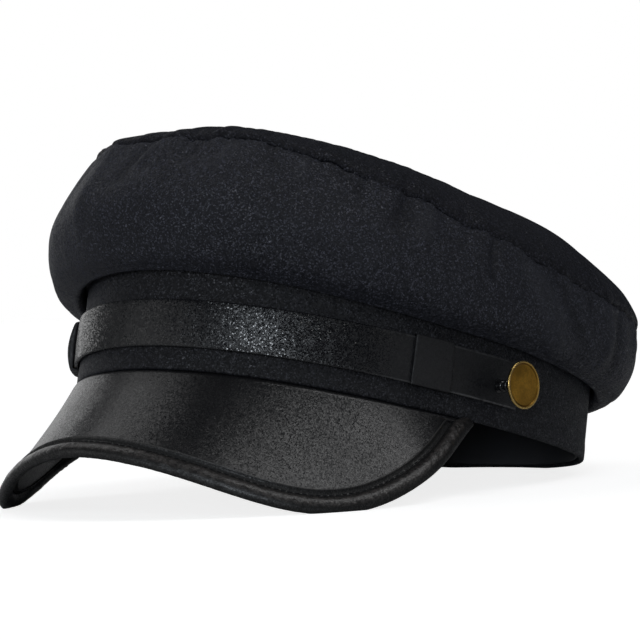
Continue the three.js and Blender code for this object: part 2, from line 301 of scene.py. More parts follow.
# %% [markdown]
# ## Folds and puckers
# Broad soft folds hang from the top seam, the same that the solid has. Between them the
# seam itself is puckered: sewing two curved edges together draws the cloth into short
# dents a finger's width apart, and they run across the seam into both panels. Their
# places are drawn once from a seeded generator, so that the side and the top agree.

# %% Places of the folds
# Columns: angle, width, depth out of the side, reach down it as a share of its height
FOLDS = np.array([
    [-168, 6, -1.2, 0.4], [-146, 6, 1.6, 0.6], [-121, 5, -1.2, 0.4], [-98, 6, 1.8, 0.6],
    [-74, 5, -1.4, 0.5], [-52, 6, 1.4, 0.5], [-33, 5, -1.2, 0.6], [-15, 5, 2.0, 0.7],
    [3, 4, 1.2, 0.3], [21, 5, -1.0, 0.4], [40, 5, -1.4, 0.4], [51, 5, 1.8, 0.5],
    [63, 5, -1.4, 0.4], [75, 4, 1.6, 0.4], [90, 5, 1.6, 0.6], [107, 5, 1.8, 0.7],
    [130, 6, -1.4, 0.5], [153, 6, 1.6, 0.5],
])


def fold_out(angle, share):
    """How far the folds stand out, at a share of the side's height."""
    total = np.zeros(np.broadcast(angle, share).shape)
    for degrees, width, depth, reach in FOLDS:
        turn = wrapped(angle - math.radians(degrees)) / math.radians(width)
        total += depth * np.exp(-(turn ** 2)) * np.clip(1 - (1 - share) / reach, 0, None)
    return total


# %% Places of the puckers
PUCKER_SPREAD = 0.08
draw = np.random.default_rng(11)
puckers, degrees = [], -180.0
while degrees < 177.5:
    width, depth = draw.uniform(0.6, 1.6), draw.uniform(0.25, 1.0)
    reach, slant = draw.uniform(3, 12), draw.uniform(-0.6, 0.6)
    puckers.append((degrees, width, depth, reach, slant))
    degrees += draw.uniform(2.2, 6.0)
print(len(puckers), "puckers along the seam")


def pucker_depth(angle, away):
    """How deep the puckers press in, at so many millimetres from the seam."""
    total = np.zeros(np.broadcast(angle, away).shape)
    for degrees, width, depth, reach, slant in puckers:
        turn = np.degrees(wrapped(angle - math.radians(degrees))) - slant * away
        wide = width + PUCKER_SPREAD * away
        total += depth * np.exp(-((turn / wide) ** 2) - (away / reach) ** 2)
    return total


# %% [markdown]
# ## Sharp creases
# Cloth that was once folded keeps thin creases. Each starts a little below the seam,
# which holds it flat, and fades down the side. They are listed one by one, like the
# folds, because a worn cap is known by them.

# %% Places of the creases
# Columns: angle at the seam, angle and share of the height where it ends, width in
# degrees and height in millimetres, which is below 0 for a valley
CREASES = np.array([
    [-14, -15.5, 0.22, 2.0, 0.4], [-19, -21, 0.40, 3.2, -0.2], [1.5, -3.5, 0.70, 1.3, 1.1],
    [-3, -6, 0.55, 2.6, -1.0], [12, 9, 0.75, 1.2, -0.7], [21, 17, 0.66, 1.8, 0.8],
    [28, 29, 0.78, 1.2, -0.8], [36, 33, 0.72, 1.5, 0.7], [47, 45, 0.80, 1.0, -0.9],
    [56, 52, 0.62, 2.2, -1.1], [60.5, 58, 0.60, 1.8, 0.9], [73.5, 72.5, 0.58, 1.0, -1.2],
    [81, 93, 0.20, 3.6, 1.3], [88, 101, 0.30, 3.0, -0.8], [101, 101, 0.72, 1.2, -1.1],
    [106.5, 108, 0.42, 2.2, 1.0], [112, 112, 0.35, 2.4, -1.0], [126, 124, 0.6, 1.8, 0.9],
    [139, 142, 0.5, 2.2, -1.0], [158, 156, 0.6, 1.5, 1.0], [171, 173, 0.7, 1.4, -0.9],
    [-160, -158, 0.5, 2.0, -1.0], [-149, -150, 0.7, 1.4, 0.9], [-133, -130, 0.4, 2.6, 1.1],
    [-112, -114, 0.6, 1.6, -1.0], [-103, -103, 0.7, 1.2, 0.9], [-88, -85, 0.4, 2.4, 1.0],
    [-70, -72, 0.6, 1.6, -1.1], [-57, -55, 0.7, 1.3, 0.9], [-40, -43, 0.5, 2.2, -0.9],
])
CREASE_FULLNESS, HELD_BY_SEAM = 1.9, 0.85


def crease_out(angle, share):
    """Height of the creases, each a thin ridge or valley, in millimetres."""
    total = np.zeros(np.broadcast(angle, share).shape)
    for seam, foot, end, width, height in CREASES:
        along = np.clip((share - end) / (1 - end), 0, 1)
        centre = math.radians(foot) + math.radians(seam - foot) * along
        across = np.exp(-(wrapped(angle - centre) / math.radians(width)) ** 2)
        fading = np.sqrt(along) * (1 - HELD_BY_SEAM * along ** 3)
        total += CREASE_FULLNESS * height * across * fading
    return total


# %% [markdown]
# ## How the crown has settled
# A slack crown doesn't keep the even line of its pattern: here it has sunk, and there it
# is pushed up. That wave is a list of heights along one line across the cap. It grows
# from nothing at the middle of the side to its full height at the seam. The sewn line
# itself wavers a little too.

# %% The settled wave and the wavering seam
# Pairs: a place across the cap in millimetres, as it's seen from its left front corner,
# and how far the cloth has risen or sunk there
SETTLED = np.array([
    [-84, 0.2], [-78, 0.1], [-72, -0.4], [-67, -0.85], [-62, -0.6], [-58, -0.45], [-51, -0.6],
    [-48, -0.9], [-45, -1.2], [-40, -0.85], [-37, 0.1], [-33, 0.8], [-25, 0.75], [-14, 0.35],
    [2, -0.1], [16, -0.4], [24, -0.3], [30, 0.2], [35, 0.2], [40, -0.2], [46, -0.4], [52, -1.1],
    [65, -0.8], [72, -0.55], [79, -0.7], [85, -1.1], [90, -1.4], [96, -1.8], [101, -1.9],
    [104, -1.0], [108, 0],
])
SETTLED_FROM, SETTLED_EASE = math.radians(40), 3.0
SEAM_WAVER = [(1.4, 7, 1.0), (0.9, 20, 4.0), (0.7, 46, 9.0)]


def smooth_step(value, start, end):
    """Rises from 0 to 1 between two values, with soft ends."""
    t = np.clip((value - start) / (end - start), 0, 1)
    return t * t * (3 - 2 * t)


def settled(points, share):
    """The same upright points after the cloth has settled, the more the nearer the seam."""
    placed = rest(points) / MM
    across = placed[..., 0] * math.cos(SETTLED_FROM) + placed[..., 1] * math.sin(SETTLED_FROM)
    shifts = np.linspace(-2, 2, 9)
    weights = np.exp(-shifts ** 2 / 2)
    risen = sum(weight * np.interp(across + SETTLED_EASE * shift, *SETTLED.T)
                for shift, weight in zip(shifts, weights))
    moved = points.copy()
    moved[..., 2] += risen / weights.sum() * smooth_step(share, 0.35, 1.0)
    return moved


def seam_waver(angle):
    """Millimetres by which the sewn line strays up and down."""
    x, y = np.sin(angle), np.cos(angle)
    return sum(height * noise_at(together(x * waves, y * waves, seed))
               for height, waves, seed in SEAM_WAVER)


# %% The line of the side
TUCK_OUT, HANG_OUT = 1.4, 2.1
around = np.linspace(-math.pi, math.pi, 721)
waver = seam_waver(around)


def swell_points(angle):
    """Four points of the swelling part, from its foot to the seam."""
    low, seam = crown_column(0, angle), crown_column(4, angle) + waver
    rise, half = seam - low, CROWN_WALL / 2
    return [
        (FOOT_OUT, low + half),
        (crown_column(1, angle) - half, low + FOOT_SHARE * rise),
        (crown_column(2, angle) - half, low + BELLY_SHARE * rise),
        (crown_column(3, angle) - half, seam),
    ]


def side_line(angle, v):
    """Out and height of the side at a share v of its strip, from the band's top."""
    low = crown_column(0, angle)
    top = BAND_HEIGHT + RIM_WAVE * np.cos(2 * angle) + CROWN_WALL / 2 + GAP
    tuck = [
        (-BAND_WALL / 2, top),
        (TUCK_OUT, top - 0.1),
        (HANG_OUT, (top + low) / 2 + 0.5),
        (HANG_OUT + 0.1, low + 2.6),
    ]
    swell = swell_points(angle)
    sampled = [smooth_line(swell, np.full(angle.shape, s)).T for s in np.linspace(0, 1, 12)]
    return smooth_line(tuck + sampled, np.full(angle.shape, v)).T


# %% Draft the side
SIDE_ROWS, SWELLING_PART = 58, 0.84
SEAM_TURN, SEAM_DEPTH = 1.3, 1.25
SIDE_UNEVEN = [(0.55, 26.0, 3.0), (0.22, 9.0, 8.0)]
SLACK_AT, SLACK_WIDE, SLACK_UP, SLACK_HIGH = math.radians(-50), math.radians(22), 0.45, 0.3


def share_up(away, length):
    """Height on the side from 0 at its foot to 1 at the seam, on a strip so long."""
    return np.clip(1 - away / (length * SWELLING_PART), 0, 1)


def seam_groove(away):
    """The cloth dips into the seam over its last millimetre."""
    return SEAM_DEPTH * np.clip(1 - away / SEAM_TURN, 0, 1) ** 2


side = np.array([oval(around, *side_line(around, v)) for v in np.linspace(0, 1, SIDE_ROWS + 1)])
from_seam = run_along(side[::-1])[::-1]
side_length = from_seam.max(0)
angles = np.broadcast_to(around, from_seam.shape)
height_share = share_up(from_seam, side_length)
dents = fold_out(angles, height_share) + crease_out(angles, height_share)
dents -= pucker_depth(angles, from_seam)
slack_turn = wrapped(angles - SLACK_AT) / SLACK_WIDE
dents -= np.exp(-slack_turn ** 2 - ((height_share - SLACK_UP) / SLACK_HIGH) ** 2)
dents += uneven(side, SIDE_UNEVEN) * np.clip(height_share * 4, 0, 1)
dents -= seam_groove(from_seam)
dents[:, -1] = dents[:, 0]
side = wrinkled(settled(side, height_share), dents, ring=True)
print("the side's strip is up to", side_length.max().round(1), "mm long")

# %% Make the side
arc = np.linspace(0, 0.66, len(around))
crown_side = grid_piece("crown_side_cloth", side, together(arc, -from_seam * MM))
give_wall(crown_side, CROWN_WALL)
finish_piece(crown_side, "crown_cloth", "crown_side")

# %% Where the cloth is rubbed, with painted highlight and painted shade
# Each corner gets a number from its place on the flat strip: 0.5 where there's no
# crease, up to 1 on a ridge, which is rubbed pale and gets a painted highlight, and down
# to 0 in a valley, which gets painted shade
places = np.zeros(2 * len(crown_side.data.loops))
crown_side.data.uv_layers.active.data.foreach_get("uv", places)
corner_arc, corner_away = places[0::2], -places[1::2] / MM
corner_share = share_up(corner_away, np.interp(corner_arc, arc, side_length))
raised = crease_out(np.interp(corner_arc, arc, around), corner_share)
raised_numbers = crown_side.data.attributes.new("raised", "FLOAT", "CORNER")
raised_numbers.data.foreach_set("value", 0.5 + 0.5 * np.clip(raised, -1, 1))
print("creases from", raised.min().round(2), "to", raised.max().round(2), "mm")

# %% [markdown]
# ## The crown's top
# The top is a slack disc of the same cloth. It rolls over a little lip from the seam and
# then rises in a shallow dome that falls away to both sides. It's drafted in rings that
# close in a point. The rings are closer near the seam, where the puckers are.

# %% The lip and the dome
TOP_CENTRE, TOP_SLOPE, TOP_SIDE_FALL = 88.3, -3.5, 13.0
SEAM_LIP, LIP_START, TOP_ROWS, CLOSER_RINGS = 1.3, 0.2, 48, 1.7


def beyond_seam(angle, length):
    """Points where the side would run on past the seam."""
    swell = swell_points(angle)
    end = smooth_line(swell, np.ones(angle.shape))
    run = end - smooth_line(swell, np.full(angle.shape, 6 / 7))
    run /= np.linalg.norm(run, axis=-1, keepdims=True)
    place = end + run * length
    return oval(angle, place[:, 0] + fold_out(angle, 1.0), place[:, 1])


edge = beyond_seam(around, GAP + SEAM_LIP)
rings = [beyond_seam(around, LIP_START), beyond_seam(around, LIP_START + SEAM_LIP / 2), edge]
for v in np.linspace(0, 1, TOP_ROWS)[1:]:
    ratio = 1 - v ** CLOSER_RINGS
    x, y = edge[:, 0] * ratio, edge[:, 1] * ratio
    dome = TOP_CENTRE + TOP_SLOPE * y / 100 - TOP_SIDE_FALL * (x / 100) ** 2
    rings.append(together(x, y, edge[:, 2] + (dome - edge[:, 2]) * (1 - ratio ** 4) ** 0.7))
top = np.array(rings)
print(len(rings), "rings from the seam to the middle of the top")

# %% Wrinkle the top and make it
TOP_UNEVEN = [(0.9, 38.0, 21.0), (0.35, 13.0, 5.0)]
from_seam = run_along(top)
angles = np.broadcast_to(around, from_seam.shape)
top = settled(top, 1.0)
dents = -0.7 * pucker_depth(angles, from_seam)
dents += 0.8 * crease_out(angles, 1.0) * np.exp(-(from_seam / 9) ** 2)
dents += np.clip(from_seam / 20, 0, 1) * uneven(top, TOP_UNEVEN)
dents -= seam_groove(from_seam)
dents[:, -1] = dents[:, 0]
dents[-1] = dents[-1].mean()
normals = surface_normals(top, ring=True)
normals[-1] = (0, 0, 1)
top = top + normals * dents[..., None]
top[-1] = top[-1].mean(0)
crown_top = grid_piece("crown_top_cloth", top, top[..., :2] * MM)
give_wall(crown_top, CROWN_WALL)
finish_piece(crown_top, "crown_cloth", "crown_top")

# %% [markdown]
# ## Strips with rounded edges
# The band, the strap and the sweatband are strips that stand round the oval. Each is a
# tube with a flat, round-edged section: a closed line of points, drafted once and then
# carried round the oval. A box with bevelled edges would need bending, and a bend needs
# a window.

# %% A strip's section, and the strip
CORNER_STEPS, ALONG_STRIP = 3, 0.092


def cut_long_sides(line, cuts, longest):
    """The same line with its long straight parts divided, so that they can curve."""
    full = []
    for here, after in zip(line[:-1], line[1:]):
        count = cuts if np.linalg.norm(after - here) > longest else 1
        full += [here + (after - here) * c / count for c in range(count)]
    return np.array(full + [line[-1]])


def strip_section(low, high, near, far, radius, cuts):
    """Closed line round a flat section, as (out, height) pairs from its outer foot."""
    centres = [
        (far - radius, low + radius), (far - radius, high - radius),
        (near + radius, high - radius), (near + radius, low + radius),
    ]
    line = []
    for (out, height), start in zip(centres, (-90, 0, 90, 180)):
        for turn in np.linspace(start, start + 90, CORNER_STEPS + 1):
            t = math.radians(turn)
            line.append((out + radius * math.cos(t), height + radius * math.sin(t)))
    return cut_long_sides(np.array(line + line[:1]), cuts, 4 * radius)


def strip(name, section, turn, bulge):
    """Carries a section round the band. bulge(angle, out, height) adds to out."""
    out, height, angle = np.broadcast_arrays(section[:, :1], section[:, 1:], turn)
    points = band_point(angle, out + bulge(angle, out, height), height)
    if turn[-1] - turn[0] < 2 * math.pi - 0.01:
        points, turn = close_ends(points), np.pad(turn, 1, "edge")
    across = run_along(section)[:, None] * MM
    return grid_piece(name, points, together(turn[None] * ALONG_STRIP, across))


# %% [markdown]
# ## The band
# The band is stiff cloth. Its lower edge is turned under, which makes the last few
# millimetres a little thicker, and it isn't perfectly even round the head.

# %% Make the band
HEM_MIDDLE, HEM_SWELL, BAND_WAVE, BAND_TRIM = 6.5 * 0.45, 0.22, 0.16, 0.1


def band_bulge(angle, out, height):
    """Uneven and thicker at the hem, but only on the outside."""
    wave = BAND_WAVE * np.sin(9 * angle + 1.3) * np.sin(0.12 * height + 2 * angle)
    hem = HEM_SWELL * np.exp(-((height - HEM_MIDDLE) / HEM_MIDDLE) ** 4)
    return np.where(out > -BAND_WALL / 2, wave * 0.5 + hem - BAND_TRIM, 0.0)


band_section = strip_section(0, BAND_HEIGHT, -BAND_WALL, 0, 0.75, 30)
band = strip("band_cloth", band_section, around, band_bulge)
finish_piece(band, "band_cloth", "band")

# %% [markdown]
# ## The sweatband
# Inside the band runs a strip of smooth lining that lies on the forehead. It's the part
# that shows at the back, under the far rim. Its lower edge is soft and waves a little.

# %% Make the sweatband
def lining_bulge(angle, out, height):
    """Small waves at the lower edge, and slow ones all over."""
    return 0.12 * np.sin(23 * angle) * np.exp(-height / 9) + 0.1 * np.sin(7 * angle + height / 5)


lining_section = strip_section(
    SWEATBAND_RISE, SWEATBAND_TOP, SWEATBAND_INSIDE, SWEATBAND_FACE, 0.5, 16)
sweatband = strip("sweatband_lining", lining_section, around, lining_bulge)
finish_piece(sweatband, "lining", "sweatband")

# %% [markdown]
# ## The strap
# A strip of patent leather lies round the front of the band, from button to button. It
# has a round edge and a very slight crown across its width, which is what makes the
# highlights on it end in soft lines.

# %% Make the strap
STRAP_BOTTOM, STRAP_HEIGHT, STRAP_WALL, STRAP_END = 7.5, 16.3, 1.5, math.radians(88.0)
STRAP_TOP, STRAP_FACE = STRAP_BOTTOM + STRAP_HEIGHT, GAP + STRAP_WALL
STRAP_CROWN, STRAP_TRIM = 0.28, 0.1


def strap_bulge(angle, out, height):
    """A slight crown across the outer face."""
    across = (height - STRAP_BOTTOM) / STRAP_HEIGHT * 2 - 1
    crown = STRAP_CROWN * (1 - across ** 2) - STRAP_TRIM
    return np.where(out > GAP + STRAP_WALL / 2, crown, 0.0)


strap_section = strip_section(STRAP_BOTTOM, STRAP_TOP, GAP, STRAP_FACE, 0.45, 14)
strap = strip("strap_patent", strap_section, np.linspace(-STRAP_END, STRAP_END, 321), strap_bulge)
finish_piece(strap, "strap_leather", "strap")

# %% [markdown]
# ## The keepers
# A keeper is a short loop of thin leather that goes once round the strap. Its section is
# the line round the strap with a wall outside it. It's drafted as a closed tube that is
# open towards the band and is a touch wider at the bottom than at the top, as hand-cut
# loops are. The wearer's left one lies almost flush, and the right one puffs out.

# %% The keeper's section
KEEPER_LENGTH, KEEPER_FIT, KEEPER_RISE = 13.5, 0.1, 0.4
KEEPER_COLUMNS = np.array([-1, -0.985, -0.95, *np.linspace(-0.88, 0.88, 19), 0.95, 0.985, 1])
KEEPER_EDGE, KEEPER_EDGE_DROP, KEEPER_TAPER, KEEPER_ROUND = 0.93, 0.22, 0.03, 0.3


def round_line(points, radius, steps=5):
    """Closed line with its corners rounded."""
    line = []
    for k, here in enumerate(points):
        here = np.array(here, float)
        before = np.array(points[k - 1]) - here
        after = np.array(points[(k + 1) % len(points)]) - here
        sides = [side / np.linalg.norm(side) for side in (before, after)]
        reach = min(radius, np.linalg.norm(before) / 2.01, np.linalg.norm(after) / 2.01)
        start, end = (here + side * reach for side in sides)
        for t in np.linspace(0, 1, steps + 1):
            line.append((1 - t) ** 2 * start + 2 * t * (1 - t) * here + t * t * end)
    return np.array(line)


# %% Make the keepers
def keeper(name, node, degrees, slack, wall, puff, rounding):
    """A loop at an angle, with some slack over the strap and a face that puffs out."""
    inside, outside = STRAP_FACE + slack, STRAP_FACE + slack + wall
    low, high = STRAP_BOTTOM - KEEPER_FIT, STRAP_TOP + KEEPER_FIT
    corners = [
        (GAP, low), (inside, low), (inside, high), (GAP, high),
        (GAP, high + KEEPER_RISE), (outside, high + KEEPER_RISE),
        (outside, low - KEEPER_RISE), (GAP, low - KEEPER_RISE),
    ]
    line = round_line(corners, rounding)
    line = cut_long_sides(np.vstack([line, line[:1]]), 14, 4.0)
    centre, place = np.array(math.radians(degrees)), KEEPER_COLUMNS
    half = KEEPER_LENGTH / 2 / float(np.linalg.norm(oval(centre, outside, 0.0)[..., :2]))
    edge = np.clip((np.abs(place) - KEEPER_EDGE) / (1 - KEEPER_EDGE), 0, 1)
    rows = []
    for out, height in line:
        wider = 1 - KEEPER_TAPER * np.sign(degrees) * (height - 16) / 10
        bow = 1 - ((height - (low + high) / 2) / (high - low + 2) * 2) ** 2
        swell = puff * bow * (1 - KEEPER_ROUND * place ** 2) - KEEPER_EDGE_DROP * edge ** 2
        rows.append(band_point(centre + half * place * wider, out + (out > inside) * swell, height))
    points = np.array(rows)
    count = len(line)
    fold = (count - 1 - np.arange(count)) % (count - 1)
    first, last = ((points[:, k] + points[fold, k])[:, None] / 2 for k in (0, -1))
    points = np.concatenate([first, points, last], 1)
    along = np.linspace(0, KEEPER_LENGTH * MM, points.shape[1])
    uv = together(along, np.linspace(0, 0.05, count)[:, None])
    return finish_piece(grid_piece(name, points, uv, outward=False), "strap_leather", node)


keeper_left = keeper("keeper_left_leather", "strap_keeper_left", 66, 0.3, 0.8, 0.25, 0.42)
keeper_right = keeper("keeper_right_leather", "strap_keeper_right", -46, 0.5, 0.7, 2.3, 1.3)

# %% [markdown]
# ## The buttons
# Each button is a flat brass disc with a raised rim, pressed on a glossy black shank.
# The disc is turned from a thin cylinder: its front face is inset twice for the rim,
# pushed back and bevelled, and its back is inset and drawn out to a shallow cone, so
# that only a thin edge shows from the side. The shank is a short post with a collar and
# two beads, flattened spheres that are joined to it. Both are modelled once,
# flat on the origin, and copies are turned to each side of the band.

# %% Helpers for turned parts
BUTTON_RADIUS, BUTTON_STANDOFF, BUTTON_THICKNESS, BUTTON_EDGE = 8.2, 13.4, 2.4, 0.8


def select_faces(piece, test):
    """Selects the faces for which test(centre, normal) holds, in edit mode afterwards."""
    bpy.ops.object.mode_set(mode="OBJECT")
    for part in (piece.data.vertices, piece.data.edges, piece.data.polygons):
        part.foreach_set("select", [False] * len(part))
    for face in piece.data.polygons:
        face.select = bool(test(face.center, face.normal))
    bpy.ops.object.mode_set(mode="EDIT")
    bpy.ops.mesh.select_mode(type="FACE")


def post(name, radius, low, high, sides):
    """A closed cylinder from one height to another, in metres from millimetres."""
    bpy.ops.mesh.primitive_cylinder_add(
        vertices=sides, radius=radius * MM, depth=(high - low) * MM,
        location=(0, 0, (low + high) / 2 * MM))
    piece = bpy.context.object
    piece.name = name
    bpy.ops.object.transform_apply(location=True, rotation=True, scale=True)
    return piece


def bevel_edges(piece, width, segments):
    """Back to object mode, with every sharp edge rounded."""
    bpy.ops.object.mode_set(mode="OBJECT")
    apply_modifier(piece, "BEVEL", width=width * MM, segments=segments, limit_method="ANGLE",
                   angle_limit=math.radians(35))


# %% Model one disc
disc = post("button_disc", BUTTON_RADIUS, BUTTON_STANDOFF - BUTTON_EDGE, BUTTON_STANDOFF, 96)
select_faces(disc, lambda centre, normal: normal.z > 0.9)
bpy.ops.mesh.inset(thickness=0.75 * MM, depth=0)
bpy.ops.mesh.inset(thickness=0.35 * MM, depth=-0.45 * MM)
for step in range(5):
    bpy.ops.mesh.inset(thickness=1.1 * MM, depth=(0.08 - 0.014 * step) * MM)
select_faces(disc, lambda centre, normal: normal.z < -0.9)
bpy.ops.mesh.inset(thickness=2.0 * MM, depth=(BUTTON_THICKNESS - BUTTON_EDGE) * MM)
bevel_edges(disc, 0.28, 4)
print("disc", len(disc.data.polygons), "faces")

# %% Model one shank
SHANK_RADIUS, COLLAR_TOP, BEAD_HEIGHTS, BEAD_FLATNESS = 2.1, 2.2, (3.9, 6.1), 0.55
shank_top = BUTTON_STANDOFF - BUTTON_THICKNESS + 0.1
shank = post("button_shank", SHANK_RADIUS - 0.6, GAP + STRAP_WALL + GAP, shank_top, 48)
select_faces(shank, lambda centre, normal: normal.z < -0.9)
bpy.ops.mesh.extrude_region_move(TRANSFORM_OT_translate={"value": (0, 0, -0.1 * MM)})
select_faces(shank, lambda centre, normal: abs(normal.z) < 0.5 and centre.z < COLLAR_TOP * MM)
bpy.ops.mesh.extrude_region_shrink_fatten(TRANSFORM_OT_shrink_fatten={"value": 0.9 * MM})
bevel_edges(shank, 0.3, 3)
beads = []
for height in BEAD_HEIGHTS:
    bpy.ops.mesh.primitive_uv_sphere_add(
        segments=40, ring_count=20, radius=SHANK_RADIUS * MM, location=(0, 0, height * MM))
    bead = bpy.context.object
    bead.scale.z = BEAD_FLATNESS
    bpy.ops.object.transform_apply(location=True, rotation=True, scale=True)
    beads.append(bead)
bpy.ops.object.select_all(action="DESELECT")
for piece in (*beads, shank):
    piece.select_set(True)
bpy.context.view_layer.objects.active = shank
bpy.ops.object.join()
bpy.ops.object.select_all(action="DESELECT")
for piece in (disc, shank):
    bpy.context.view_layer.objects.active = piece
    piece.select_set(True)
    bpy.ops.object.shade_smooth_by_angle(angle=math.radians(40))
    piece.select_set(False)
print("shank", len(shank.data.polygons), "faces")

# %% Turn a copy to each side
BUTTON_ANGLE, BUTTON_HEIGHT, BUTTON_SAG = math.radians(82.4), 13.8, math.radians(3.0)


def at_button(side):
    """The matrix that stands a button on the band, wearer's left (1) or right (-1)."""
    angle = np.array(BUTTON_ANGLE * side)
    foot, tip = (Vector(rest(band_point(angle, out, BUTTON_HEIGHT))) for out in (0.0, 1.0))
    turn = (tip - foot).to_track_quat("Z", "Y").to_matrix().to_4x4()
    return Matrix.Translation(foot) @ Matrix.Rotation(BUTTON_SAG * side, 4, "Z") @ turn


BUTTON_PLACES = {"left": at_button(1), "right": at_button(-1)}
discs, shanks = [], []
for side_name, place in BUTTON_PLACES.items():
    for master, slot, copies in ((disc, "button_brass", discs), (shank, "strap_leather", shanks)):
        piece = master.copy()
        piece.data = master.data.copy()
        piece.name = piece.data.name = f"{master.name}_{side_name}"
        bpy.context.collection.objects.link(piece)
        piece.data.transform(place)
        copies.append(finish_piece(piece, slot, f"button_{side_name}"))
for master in (disc, shank):
    bpy.data.objects.remove(master)

# %% [markdown]
# ## The peak
# The peak is a plate of board covered with grained leather. It hangs between two lines:
# the rim of the band, and its own edge, a rounded outline that droops to two low parts.
# One value, from -1 at the wearer's right corner to 1 at the left, runs along both.

# %% The peak's two lines
PEAK_CORNER, PEAK_REACH, PEAK_ROUNDNESS, PEAK_FLARE = math.radians(79), 108.2, 1.29, 18.5
PEAK_DROP_FRONT, PEAK_DROP_LOBE, PEAK_DROP_SIDE = 27.5, 14.2, 22.4
PEAK_WALL, PEAK_ARCH, CORNER_TILT, BINDING_THICKNESS = 2.0, -0.012, 1.2, 3.6
CORNER_DRAW, DRAWN_FROM, DRAWN_TO, BESIDE = 4.0, 0.72, 0.92, 0.004


def unit(vectors):
    """The same directions, all one millimetre long."""
    return vectors / np.linalg.norm(vectors, axis=-1, keepdims=True)


def peak_root(share):
    """The middle of the plate where it meets the band's rim."""
    return band_point(PEAK_CORNER * share, -0.4, -GAP - PEAK_WALL / 2)


def plain_edge(share):
    """The rounded, drooping outline, which is also the solid's."""
    turn = share * math.pi / 2
    sine, cosine, twice = np.sin(turn), np.maximum(np.cos(turn), 0), np.sin(2 * turn)
    corner_x = math.sin(PEAK_CORNER) * BAND_WIDTH / 2
    corner_y = -math.cos(PEAK_CORNER) * BAND_LENGTH / 2
    x = corner_x * np.sign(sine) * np.abs(sine) ** PEAK_ROUNDNESS + PEAK_FLARE * twice
    y = corner_y - PEAK_REACH * cosine ** PEAK_ROUNDNESS
    drop = PEAK_DROP_FRONT * cosine ** 2 + PEAK_DROP_LOBE * twice ** 2
    drop += PEAK_DROP_SIDE * (twice * sine) ** 2
    return together(x, y, -drop - 1.6 * GAP - BINDING_THICKNESS / 2)


def peak_edge(share):
    """The edge, drawn in a little where it runs up to the corners."""
    along = plain_edge(share + BESIDE) - plain_edge(share - BESIDE)
    inward = unit(together(-along[..., 1], along[..., 0], 0 * share))
    drawn = CORNER_DRAW * smooth_step(np.abs(share), DRAWN_FROM, DRAWN_TO)
    return plain_edge(share) + inward * drawn[..., None]


def peak_frame(share):
    """Directions at the edge: out in the peak's surface, and down below it."""
    along = unit(peak_edge(share + BESIDE) - peak_edge(share - BESIDE))
    out = peak_edge(share) - peak_root(share)
    out[..., 2] += CORNER_TILT
    out = unit(out - along * (out * along).sum(-1, keepdims=True))
    return out, np.cross(along, out)


# %% Make the plate
# The plate starts with a flange that turns up inside the band, where it's sewn
FLANGE = [(-2.7, 0.7), (-2.5, -0.1), (-1.9, -0.9), (-1.0, -1.3)]
PEAK_COLUMNS, PEAK_ROWS, PLATE_END, PLATE_STOPS = 300, 56, 0.975, 5.3
FRAME_HOLDS = 0.935
PLATE_UNEVEN = [(0.12, 30.0, 14.0), (0.05, 10.0, 2.0)]
share = np.linspace(-PLATE_END, PLATE_END, PEAK_COLUMNS + 1)
root_line = band_point(PEAK_CORNER * share, 0.1, -1.45)
out, under = peak_frame(np.clip(share, -FRAME_HOLDS, FRAME_HOLDS))
edge_line = peak_edge(share) - out * PLATE_STOPS
length = np.linalg.norm(edge_line - root_line, axis=-1, keepdims=True)
rows = [band_point(PEAK_CORNER * share, out_by, height) for out_by, height in FLANGE]
for v in np.linspace(0, 1, PEAK_ROWS + 1):
    arch = PEAK_ARCH * length * 4 * v * (1 - v)
    rows.append(root_line + (edge_line - root_line) * v - under * arch)
plate = np.array(rows)
plate = wrinkled(plate, uneven(plate, PLATE_UNEVEN))
plate_uv = together(run_along(edge_line) * MM, np.linspace(0, 0.09, len(plate))[:, None])
peak = grid_piece("peak_leather", plate, plate_uv, weld=False)
give_wall(peak, PEAK_WALL)
finish_piece(peak, "peak_leather", "peak")

# %% [markdown]
# ## The binding
# A strip of leather is folded round the edge of the peak and sewn through close to its
# inner edge. That gives three forms side by side: a thin tape edge, a groove where the
# stitches sink in, and a full roll outside. So the section isn't an oval but a drawn
# line with all three, and it's carried along the edge. The leather gathers in small
# folds where the strip runs into the corners and where it turns tightly.

# %% The binding's section
# Pairs: out from the middle of the binding, and height above it, upper half from inside
UPPER_LINE = np.array([
    (-5.90, 0.90), (-5.89, 1.30), (-5.76, 1.56), (-5.56, 1.62), (-5.36, 1.46), (-5.16, 1.10),
    (-4.75, 0.82), (-4.15, 0.68), (-3.60, 0.66), (-3.20, 0.82), (-2.90, 1.20), (-2.50, 1.62),
    (-1.95, 1.94), (-1.25, 2.14), (-0.45, 2.22), (0.35, 2.17), (1.10, 1.98), (1.75, 1.67),
    (2.28, 1.24), (2.66, 0.78), (2.90, 0.36), (3.00, 0.0),
])
LOWER_LINE = UPPER_LINE[::-1] * (1, -0.92)
section = np.vstack([UPPER_LINE, LOWER_LINE[1:], UPPER_LINE[:1]])
print("the binding is", np.ptp(section[:, 0]), "mm wide and", np.ptp(section[:, 1]), "mm thick")

